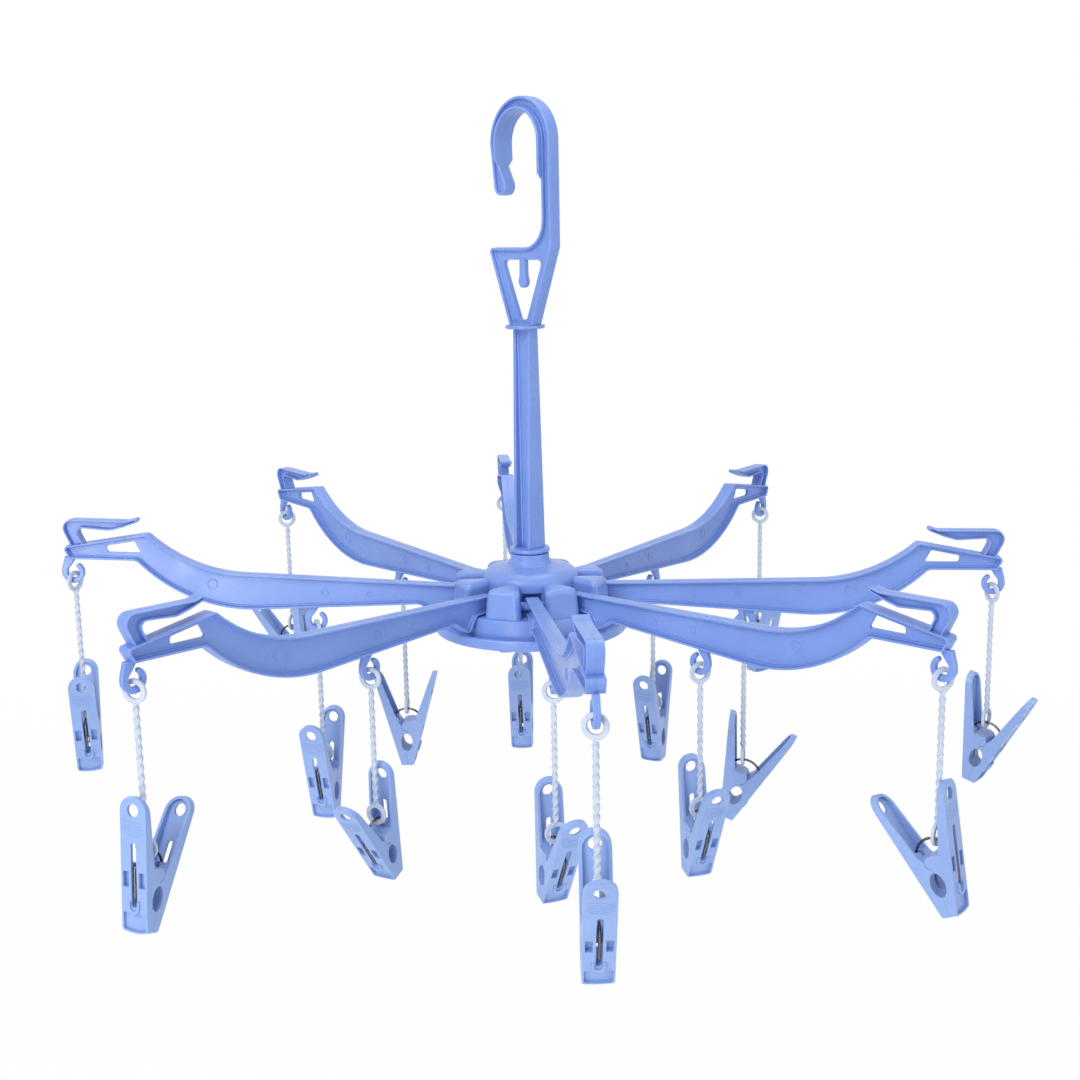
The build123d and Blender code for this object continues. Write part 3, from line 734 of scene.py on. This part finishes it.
def hub_top_mesh():
    """The upper shell: neck, dome and spindle tube in one turning, and a block between each two slots."""
    crown = DOME_Z - 1.6
    ceiling = crown - 2.2
    inner_r = DOME_R - DOME_WALL
    bore_r = SPINDLE_R + SPINDLE_RUNNING
    tube_foot = NECK_Z - SPINDLE_TUBE
    bends = [radians(a) for a in range(6, 91, 7)]
    shoulder = [
        (DOME_R - DOME_BEND + DOME_BEND * sin(a), crown - DOME_BEND * (1 - cos(a))) for a in bends
    ]
    profile = [
        (bore_r, NECK_Z),
        (10.5, NECK_Z),
        (11.0, NECK_Z - 0.2),
        (11.2, NECK_Z - 0.7),
        (11.3, NECK_Z - 3.6),
        (11.7, NECK_Z - 4.2),
        (12.3, NECK_Z - 4.5),
        (12.6, NECK_Z - 5.0),
        (12.7, DOME_Z + 0.6),
        (13.1, DOME_Z + 0.15),
        (14.0, DOME_Z - 0.15),
        *shoulder,
        (DOME_R, SPLIT_Z),
        (inner_r, SPLIT_Z),
        (inner_r, ceiling - 0.2),
        (12, ceiling),
        (SPINDLE_TUBE_R, ceiling),
        (SPINDLE_TUBE_R, tube_foot),
        (bore_r, tube_foot),
    ]
    mouth = rect(inner_r + 1.8, SPLIT_Z - 2, DOME_R + 3.8, SPLIT_Z + 11.2, 0)
    turns = [k * ARM_PITCH for k in range(ARM_COUNT)]
    mouths = [turned(slab([mouth], SLOT_HALF - 0.5, 0, XZ, 0), turn) for turn in turns]
    shell = carved(lathe(profile), mouths)
    return joined(shell, *[turned(block_mesh(), turn) for turn in turns])


def hub_base_mesh():
    """The lower shell: a dish with a raised skirt, a grooved rim, and ribs under its plate."""
    lip_foot = DECK_Z - 6.0
    groove_out = DISH_R - 2.4
    profile = [
        (DISH_HOLE_R, SPLIT_Z),
        (SKIRT_R - 1.4, SPLIT_Z),
        (SKIRT_R - 0.4, SPLIT_Z - 0.4),
        (SKIRT_R, SPLIT_Z - 1.3),
        (SKIRT_R + 1.0, GROOVE_Z + 1.4),
        (SKIRT_R + 1.4, GROOVE_Z + 0.5),
        (SKIRT_R + 2.2, GROOVE_Z),
        (groove_out - 0.9, GROOVE_Z),
        (groove_out - 0.2, GROOVE_Z + 0.4),
        (groove_out, GROOVE_Z + 1.0),
        (groove_out, RIM_Z - 0.6),
        (groove_out + 0.4, RIM_Z - 0.1),
        (DISH_R - 1.2, RIM_Z),
        (DISH_R - 0.4, RIM_Z - 0.1),
        (DISH_R, RIM_Z - 0.7),
        (DISH_R, RIM_FOOT_Z + 1.2),
        (DISH_R - 0.4, RIM_FOOT_Z + 0.4),
        (DISH_R - 1.2, RIM_FOOT_Z),
        (groove_out + 0.3, RIM_FOOT_Z + 0.1),
        (groove_out, RIM_FOOT_Z + 0.5),
        (groove_out, GROOVE_Z - 2.0),
        (SKIRT_R - 0.6, GROOVE_Z - 2.0),
        (SKIRT_R - 1.8, DECK_Z),
        (DISH_HOLE_R + 2.0, DECK_Z),
        (DISH_HOLE_R + 2.0, lip_foot + 0.4),
        (DISH_HOLE_R + 1.6, lip_foot),
        (DISH_HOLE_R + 0.4, lip_foot),
        (DISH_HOLE_R, lip_foot + 0.4),
    ]
    rib = rect(DISH_HOLE_R + 1.0, lip_foot, SKIRT_R - 1.0, DECK_Z + 0.5, 0)
    ribs = [turned(slab([rib], 0.8, 0.3), (k + 0.5) * ARM_PITCH) for k in range(ARM_COUNT)]
    return joined(lathe(profile, 128), *ribs)


# ---------------------------------------------------------------- arms
def tip_point(u, z, *r):
    """A corner given from the lower corner of an arm's tip, inward and up."""
    return (TIP_X - u, TIP_Z + z, *r)


def lower_flange_z(x):
    """Height of the lower flange's surface between the stop and the belly."""
    return BELLY[1] + (BELLY[0] - x) * LOWER_SLOPE


def beam_outline():
    """An arm's side view: round root, stop heel, swept belly and the blunt tip."""
    heel_x, heel_z = STOP_X + STOP_DROP * 0.65, -ROOT_R - STOP_DROP
    belly = tangent_arc(BELLY, BELLY_RUN, tip_point(39.5, -0.7), 18)
    back = tangent_arc(BACK, BACK_RUN, tip_point(46.0, 15.4), 18)
    return [
        *arc(0, 0, ROOT_R, 90, 270, 16),
        (STOP_X, -ROOT_R, 1.2),
        (heel_x, heel_z, 1.2),
        (heel_x + 2.5, heel_z, 2.0),
        (30.0, lower_flange_z(30.0), 6.0),
        *belly[:-1],
        (*belly[-1], 7.0),
        tip_point(0.0, 0.0, 0.8),
        tip_point(-2.8, 5.5, 1.2),
        tip_point(-1.9, 7.6, 0.8),
        (*back[-1], 6.0),
        *reversed(back[:-1]),
    ]


def tip_window():
    """The slanted opening in the web near an arm's tip."""
    corners = ((21.4, 3.8, 1.8), (41.6, 3.5, 1.0), (38.0, 10.5, 1.0), (21.4, 7.7, 1.8))
    return [tip_point(*corner) for corner in corners]


def clip_outline():
    """The sprung clip that stands on an arm's tip and reaches back over it."""
    return [
        tip_point(1.4, 7.2),
        tip_point(-6.0, 23.6, 5.3),
        tip_point(35.0, 22.9, 8.0),
        tip_point(40.2, 24.6, 1.0),
        tip_point(41.0, 22.2, 1.0),
        tip_point(32.2, 19.0, 6.0),
        tip_point(24.6, 17.0, 8.0),
        tip_point(4.0, 18.6, 2.6),
        tip_point(9.0, 8.0),
    ]


def eye_outline():
    """An open hook: a tapering bar that leaves the flange, curls under and ends short of it."""
    end = EYE_MOUTH - 360
    steps = 24
    outer = [EYE_IN_R + EYE_BAR * (0.74 + 0.26 * k / steps) for k in range(steps + 1)]
    curl = [polar(r, end * (1 - k / steps)) for k, r in enumerate(outer)]
    half = EYE_BAR * 0.37
    mid = Vector(polar(EYE_IN_R + half, end))
    out, beyond = Vector(polar(half, end)), Vector(polar(half, end - 90))
    nose = [mid - out * cos(radians(t)) + beyond * sin(radians(t)) for t in range(30, 180, 30)]
    root = EYE_DROP + 0.9
    leg = [
        (EYE_IN_R + EYE_BAR - 0.3, 2.6, 4),
        (EYE_IN_R + 1.4, root),
        (-2.2, root),
        (0.6, 5.0, 4),
        (EYE_IN_R - 0.3, 2.0, 2),
    ]
    return [*[tuple(p) for p in nose], *curl, *leg, *arc(0, 0, EYE_IN_R, 0, end, steps)]


def pin_mark(x, z, r, side):
    """The faint ring that one of the mould's pins leaves on a side of the web."""
    ring = lathe([(r, 0.0), (r, 0.22), (r - 0.3, 0.3), (r - 0.7, 0.12), (r - 0.7, 0.0)], 32)
    return shifted(turned(ring, -side * pi / 2, "X"), x, side * ARM_WEB_HALF, z)


def arm_mesh():
    """An arm in its own frame: beam, clip, two hooks, the pins' marks and its trunnions."""
    beam = i_beam(beam_outline(), [tip_window()], 1.3, ARM_WEB_HALF, ARM_HALF, 0.5, 0.8)
    for vertex in beam.vertices:
        share = min(max((vertex.co.x - STOP_X - 2.2) / 35.0, 0), 1)
        if abs(vertex.co.y) > 2:
            vertex.co.y *= (ROOT_HALF + (ARM_HALF - ROOT_HALF) * share) / ARM_HALF
    clip = i_beam(clip_outline(), [], 1.0, 1.0, CLIP_HALF, 0.4, 0)
    parts = [beam, clip]
    for x, z in ((TIP_X - EYE_U, TIP_Z), (MID_HOOK_X, lower_flange_z(MID_HOOK_X))):
        parts.append(shifted(slab([eye_outline()], 1.5, 0.6), x, 0, z - EYE_DROP))
    parts += [pin_mark(x, z, r, side) for x, z, r in PIN_MARKS for side in (-1, 1)]
    end, ease = TRUNNION_HALF, 0.4
    pin = [(0.4, -end), (TRUNNION_R - ease, -end), (TRUNNION_R, ease - end)]
    pin += [(r, -z) for r, z in reversed(pin)]
    parts.append(turned(lathe(pin, 32), pi / 2, "X"))
    return joined(*parts)


# ---------------------------------------------------------------- pegs
def outer_y(z):
    """How far a half's outer face stands out at a height."""
    return JAW_T + (z + JAW) * tan(SPREAD)


def face_frame():
    """Maps (x, along, out) on a half's outer face to the peg: along runs up from the fulcrum's level."""
    along = Vector((0, sin(SPREAD), cos(SPREAD)))
    out = Vector((0, cos(SPREAD), -sin(SPREAD)))
    return basis((-1, 0, 0), along, out, (0, outer_y(0), 0))


def plan(margin, *foot):
    """A half seen from its face: the handle's round end, and the corners of its foot."""
    half = PEG_WIDTH / 2 - margin
    mid = HANDLE - PEG_WIDTH / 2
    return [*foot, *arc(0, mid, half, 0, 180, 24)]


def through_face(outline, depth, rise=3.0):
    """A cutting plug through a half's outer face, to a depth below it."""
    mesh = slab([outline], (depth + rise) / 2, 0, HERE, 0)
    return moved(mesh, face_frame() @ Matrix.Translation((0, 0, (rise - depth) / 2)))


def half_blank(level):
    """A half as a wedge, down to the fulcrum's level on its inner side."""
    side = [
        (-3, -JAW),
        (JAW_T - 1.1, -JAW),
        (JAW_T - 0.3, -JAW + 0.3),
        (outer_y(1.2 - JAW), 1.2 - JAW),
        (outer_y(HANDLE), HANDLE),
        (outer_y(HANDLE) - HANDLE_T, HANDLE),
        (FULCRUM_R + 2.4, FULCRUM_R),
        (SEAM_GAP, level),
        (-3, level),
    ]
    return slab([side], PEG_WIDTH / 2, 0, YZ, 0)


def half_cuts():
    """What is taken out of a half: channel, grip hole, eyelet, spring slot, pockets and jaw pad."""
    wide = PEG_WIDTH / 2
    slope = 1 / cos(SPREAD)
    rise = HANDLE + 2
    plate = CHANNEL_T * slope
    floor = [
        (-1, CHANNEL_FOOT),
        (outer_y(CHANNEL_FOOT) - plate, CHANNEL_FOOT),
        (outer_y(rise) - plate, rise),
        (-1, rise),
    ]
    corner = wide - CHANNEL_T
    walls = plan(CHANNEL_T, (-corner, CHANNEL_FOOT - 1), (corner, CHANNEL_FOOT - 1))
    inner = slab([walls], THROUGH, 0, XZ, 0)
    cuts = [carved(slab([floor], wide + 1, 0, YZ, 0), [], [inner])]
    oval = [(y * GRIP_WIDE, z * GRIP_TALL + GRIP_Z) for y, z in arc(0, 0, 1, 0, 350, 35)]
    cuts.append(slab([oval], PEG_WIDTH, 0, YZ, 0))
    cuts.append(slab([arc(0, HANDLE - EYELET_INSET, EYELET_R, 0, 350, 35)], THROUGH, 0, XZ, 0))
    slot = rect(-SPRING_SLOT, SLOT_FOOT * slope, SPRING_SLOT, SLOT_TOP * slope, 1.4)
    cuts.append(through_face(slot, 6.5))
    for x in (-POCKET_X, POCKET_X):
        cuts.append(through_face(rect(x - 1.65, -6.6, x + 1.65, 0.9, 0.3), 2.4))
    side, top, foot = 6.3, -18.9, -27.2
    pad = [(-side, top, 0.5), (-side, foot, 1.2), (0, foot - 1, 20), (side, foot, 1.2), (side, top, 0.5)]
    cuts.append(through_face(pad, 1.6))
    return cuts


def face_relief():
    """The bowed finger ridges on the handle and the U-shaped lip that the wire's end rests in."""
    parts = []
    for k in range(RIDGES):
        half = 5.9 if k else 4.2
        level = RIDGE_FOOT + RIDGE_PITCH * k
        bow = [(half * t / 4, level - 0.5 * (1 - t * t / 16)) for t in range(-4, 5)]
        ridge = bow + [(x, y + 0.6) for x, y in reversed(bow)]
        parts.append(moved(slab([ridge], 0.22, 0.15, HERE, 1), face_frame()))
    top, mid = -13.2, -16.0
    lip = [(-3.2, top, 0.5), *arc(0, mid - 0.3, 3.2, 180, 360, 12), (3.2, top, 0.5), (1.8, top, 0.3)]
    lip += [*arc(0, mid, 1.8, 0, -180, 10), (-1.8, top, 0.3)]
    parts.append(moved(slab([lip], 1.1, 0.5, HERE, 2), face_frame()))
    return parts


def half_mesh(socket):
    """The half on the +Y side of a peg: the one with the fulcrum's socket, or the one with its boss."""
    wide = PEG_WIDTH / 2
    foot = 1.1 - JAW
    front = [plan(0, (-wide, foot, 1.6), (0, -JAW, 20), (wide, foot, 1.6))]
    body = half_blank(-FULCRUM_R if socket else FULCRUM_R)
    body = carved(body, half_cuts(), [slab(front, THROUGH, 0, XZ, 0)], bevel=0.45)
    seam = [slab([rect(-9, -JAW - 2, SEAM_GAP, HANDLE, 0)], wide + 1, 0, YZ, 0)]
    if socket:
        seam.append(slab([arc(0, 0, FULCRUM_R + 0.03, 0, 350, 35)], PEG_WIDTH, 0, YZ, 0))
    parts = [carved(body, seam)]
    if not socket:
        boss = [(0.01, -7.18), (FULCRUM_R - 0.3, -7.18), (FULCRUM_R, -6.9)]
        boss += [(r, -z) for r, z in reversed(boss)]
        parts.append(turned(lathe(boss, 40), pi / 2, "Y"))
    return joined(*parts, *face_relief())


def wire_path():
    """The spring's course from one curled end, over the fulcrum, to the other."""
    half = WIRE_ARC_HALF
    lean = tan(SPREAD)
    end = (WIRE_ARC_R * sin(half), WIRE_ARC_R * cos(half))
    face = outer_y(0) - WIRE_R - 0.2
    run = (face + lean * end[1] - end[0]) / (cos(half) + lean * sin(half))
    knee = (end[0] + run * cos(half), end[1] - run * sin(half), 2.2)
    foot = (face + lean * WIRE_FOOT, WIRE_FOOT, 0.8)
    curl = (foot[0] - 2.0, WIRE_FOOT - 0.6)
    right = rounded([curl, foot, knee, end], n=6, close=False)
    steps = 14
    turns = [half * (1 - k / steps) for k in range(1, 2 * steps)]
    bow = [(WIRE_ARC_R * sin(a), WIRE_ARC_R * cos(a)) for a in turns]
    left = [(-y, z) for y, z in reversed(right)]
    return [(0, y, z) for y, z in right + bow + left]


# ---------------------------------------------------------------- links
def ring_mesh(axis):
    """A flat ring on edge with eased edges, whose hole faces along a direction."""
    loops = [arc(0, 0, r, 0, 354, 59) for r in (LOOP_OUT_R, LOOP_HOLE_R)]
    turn = Vector((0, 0, 1)).rotation_difference(axis).to_matrix().to_4x4()
    return moved(slab(loops, 0.9, 0.45, HERE), turn)


def link_mesh(upper_axis, lower_axis):
    """Two rings joined by a twisted bar; the upper ring's centre is at the origin."""
    reach = (LOOP_OUT_R + LOOP_HOLE_R) / 2
    run = LINK_LENGTH - 2 * reach
    steps = 216
    path = [(0, 0, -reach - run * k / steps) for k in range(steps + 1)]
    start, end = (-atan2(axis.y, axis.x) - pi / 2 for axis in (upper_axis, lower_axis))
    total = 2 * pi * round(run / TWIST_PITCH) + (end - start) % pi

    def twist(s):
        """Flat where the bar leaves a ring, and a plump oval along its run."""
        ease = min(s, run - s, 4.0) / 4.0
        return (1.6 - 0.3 * ease, 0.66 + 0.24 * ease, start + total * s / run)

    bar = tube(path, LINK_R, 14, twist)
    return joined(ring_mesh(upper_axis), shifted(ring_mesh(lower_axis), 0, 0, -LINK_LENGTH), bar)


# ---------------------------------------------------------------- placing everything
def joint_at(name):
    """A joint's place in millimetres, and its axis."""
    joint = JOINTS[name]
    return Vector(joint["pos_m"]) / MM, Vector(joint["axis"]).normalized()


UP = Vector((0, 0, 1))
ARM = arm_mesh()
FIXED = turned(half_mesh(False), pi)
SPRUNG = half_mesh(True)
WIRE = tube(wire_path(), WIRE_R, 12)


def arm_place(hinge, across, level, eye):
    """An arm's frame, lifted so that its tip's hook holds the outer link's ring."""
    away = eye - hinge
    lift = atan2(away.z, away.dot(level)) - atan2(TIP_Z - EYE_DROP, TIP_X - EYE_U)
    outward = level * cos(lift) + UP * sin(lift)
    return basis(outward, across, outward.cross(across), hinge)


def hang_peg(name, level):
    """A link and the peg on it: two halves and a wire."""
    lower, swing = joint_at(f"peg_{name}_swing")
    fulcrum, along = joint_at(f"jaw_{name}_open")
    twist = -LOOP_TWIST if name in BACK_TURNED else LOOP_TWIST
    link = link_mesh(Matrix.Rotation(twist, 3, "Z") @ level, swing)
    place = Matrix.Translation(lower + UP * LINK_LENGTH)
    piece(f"link_{name}_moulding", link, place, f"link_{name}", NYLON, [f"link_{name}"])
    up = -Vector(MOUNTS[f"peg_jaws_{name}"]["axis"]).normalized()
    place = basis(along, up.cross(along), up, fulcrum)
    body, jaw = f"peg_{name}", f"jaw_{name}"
    piece(f"peg_{name}_fixed", FIXED, place, body, PEG_BLUE, [f"peg_spring_{name}"])
    piece(f"peg_{name}_wire", WIRE, place, body, STEEL)
    piece(f"peg_{name}_sprung", SPRUNG, place, jaw, PEG_BLUE, [f"peg_jaw_{name}"])


piece("stem_moulding", stem_mesh(), HERE, "stem", BODY_BLUE, ["stem_hook"])
piece("hub_dome", hub_top_mesh(), HERE, "hub", BODY_BLUE, ["hub_top"])
piece("hub_dish", hub_base_mesh(), HERE, "hub", BODY_BLUE, ["hub_base"])
for n in range(1, ARM_COUNT + 1):
    arm = f"arm_{n}"
    hinge, fold = joint_at(f"{arm}_fold")
    eye, _ = joint_at(f"link_outer_{n}_swing")
    level = -fold.cross(UP)
    place = arm_place(hinge, -fold, level, eye)
    piece(f"{arm}_moulding", ARM, place, arm, BODY_BLUE, [arm])
    for which in ("outer", "inner"):
        hang_peg(f"{which}_{n}", level)
# The snap ring takes the spring steel too, whose dark base colour is painted shade.
ring_materials = frame["nodes"]["snap_ring"].data.materials
ring_materials.clear()
ring_materials.append(STEEL)


# ---------------------------------------------------------------- floor, light and camera
FLOOR_R = 8.0
FLOOR_DROP = 0.25


def seen_by(tree, path):
    """1 for rays from the camera, and for those that glossy and clear surfaces send on."""
    total = path.outputs["Is Camera Ray"]
    for kind in ("Is Glossy Ray", "Is Transmission Ray"):
        most = tree.nodes.new("ShaderNodeMath")
        most.operation = "MAXIMUM"
        tree.links.new(total, most.inputs[0])
        tree.links.new(path.outputs[kind], most.inputs[1])
        total = most.outputs[0]
    return total


def white_stage():
    """A pale floor that the camera sees as white, with the object's faint shadow near its middle."""
    material, tree, surface = shader("floor_white")
    surface.inputs["Base Color"].default_value = (0.9, 0.9, 0.9, 1)
    surface.inputs["Roughness"].default_value = 0.9
    nodes, links = tree.nodes, tree.links
    path = nodes.new("ShaderNodeLightPath")
    glow = nodes.new("ShaderNodeEmission")
    glow.inputs["Color"].default_value = (1, 1, 1, 1)
    where = nodes.new("ShaderNodeVectorMath")
    where.operation = "LENGTH"
    links.new(nodes.new("ShaderNodeTexCoord").outputs["Object"], where.inputs[0])
    fade = nodes.new("ShaderNodeMapRange")
    for socket, value in (("From Min", 0.3), ("From Max", 1.5), ("To Min", 0.94), ("To Max", 1.0)):
        fade.inputs[socket].default_value = value
    links.new(where.outputs["Value"], fade.inputs["Value"])
    share = nodes.new("ShaderNodeMath")
    share.operation = "MULTIPLY"
    links.new(fade.outputs["Result"], share.inputs[1])
    links.new(seen_by(tree, path), share.inputs[0])
    mix = nodes.new("ShaderNodeMixShader")
    links.new(share.outputs[0], mix.inputs[0])
    links.new(surface.outputs[0], mix.inputs[1])
    links.new(glow.outputs[0], mix.inputs[2])
    links.new(mix.outputs[0], nodes["Material Output"].inputs["Surface"])
    return material


def stage():
    """A round floor well below the hanging dryer."""
    mesh = bpy.data.meshes.new("floor")
    bm = bmesh.new()
    bmesh.ops.create_circle(bm, cap_ends=True, segments=64, radius=FLOOR_R)
    bm.to_mesh(mesh)
    bm.free()
    mesh.materials.append(white_stage())
    floor = bpy.data.objects.new("floor", mesh)
    floor.location.z = cad_box[0][2] - FLOOR_DROP
    bpy.context.collection.objects.link(floor)


def world():
    """Soft light from all round, and plain white where the camera sees past the floor."""
    sky = bpy.data.worlds.new("studio")
    bpy.context.scene.world = sky
    sky.use_nodes = True
    nodes, links = sky.node_tree.nodes, sky.node_tree.links
    ambient = nodes["Background"]
    ambient.inputs["Color"].default_value = (0.93, 0.95, 1.0, 1)
    ambient.inputs["Strength"].default_value = 0.42
    white = nodes.new("ShaderNodeBackground")
    white.inputs["Color"].default_value = (1, 1, 1, 1)
    white.inputs["Strength"].default_value = 1.0
    path = nodes.new("ShaderNodeLightPath")
    mix = nodes.new("ShaderNodeMixShader")
    links.new(seen_by(sky.node_tree, path), mix.inputs[0])
    links.new(ambient.outputs[0], mix.inputs[1])
    links.new(white.outputs[0], mix.inputs[2])
    links.new(mix.outputs[0], nodes["World Output"].inputs["Surface"])


def lamp(name, at, look, size, power):
    light = bpy.data.lights.new(name, "AREA")
    light.size = size
    light.energy = power
    holder = bpy.data.objects.new(name, light)
    holder.location = at
    holder.rotation_euler = (Vector(look) - Vector(at)).to_track_quat("-Z", "Y").to_euler()
    bpy.context.collection.objects.link(holder)


def camera():
    """Looks down by 12 degrees at the hub from 0.88 m, with the dryer hanging slightly askew."""
    hub_z = -254.8
    distance, height = 862.77, 194.163
    pitch, yaw, roll = 0.2073, -0.0069, 0.0095
    askew = Matrix.Rotation(-0.0096, 3, "Y") @ Matrix.Rotation(-0.0001, 3, "X")
    back = (askew @ Matrix.Rotation(radians(1.32), 3, "Z")).inverted()
    right = Vector((cos(yaw), sin(yaw), 0))
    flat = Vector((-sin(yaw), cos(yaw), 0))
    ahead = flat * cos(pitch) - UP * sin(pitch)
    up = flat * sin(pitch) + UP * cos(pitch)
    u = right * cos(roll) - up * sin(roll)
    v = right * sin(roll) + up * cos(roll)
    at = back @ Vector((0, -distance, height)) + Vector((0, 0, hub_z))
    lens = bpy.data.cameras.new("camera")
    lens.lens = 50.373333
    lens.sensor_width = 36
    lens.clip_start = 0.01
    view = bpy.data.objects.new("camera", lens)
    view.matrix_world = basis(back @ u, back @ v, back @ -ahead, at * MM)
    bpy.context.collection.objects.link(view)
    bpy.context.scene.camera = view


stage()
world()
lamp("key", (-0.9, -1.3, 0.9), (0, 0, -0.28), 1.2, 21)
lamp("fill", (1.3, -1.0, 0.2), (0, 0, -0.3), 1.4, 9)
lamp("top", (0.1, 0.3, 1.5), (0, 0, -0.28), 1.2, 14)
lamp("bounce", (-0.62, -1.2, -0.52), (-0.15, 0, -0.28), 0.45, 4.6)
camera()
bpy.context.scene.view_settings.view_transform = "Standard"
bpy.context.view_layer.update()
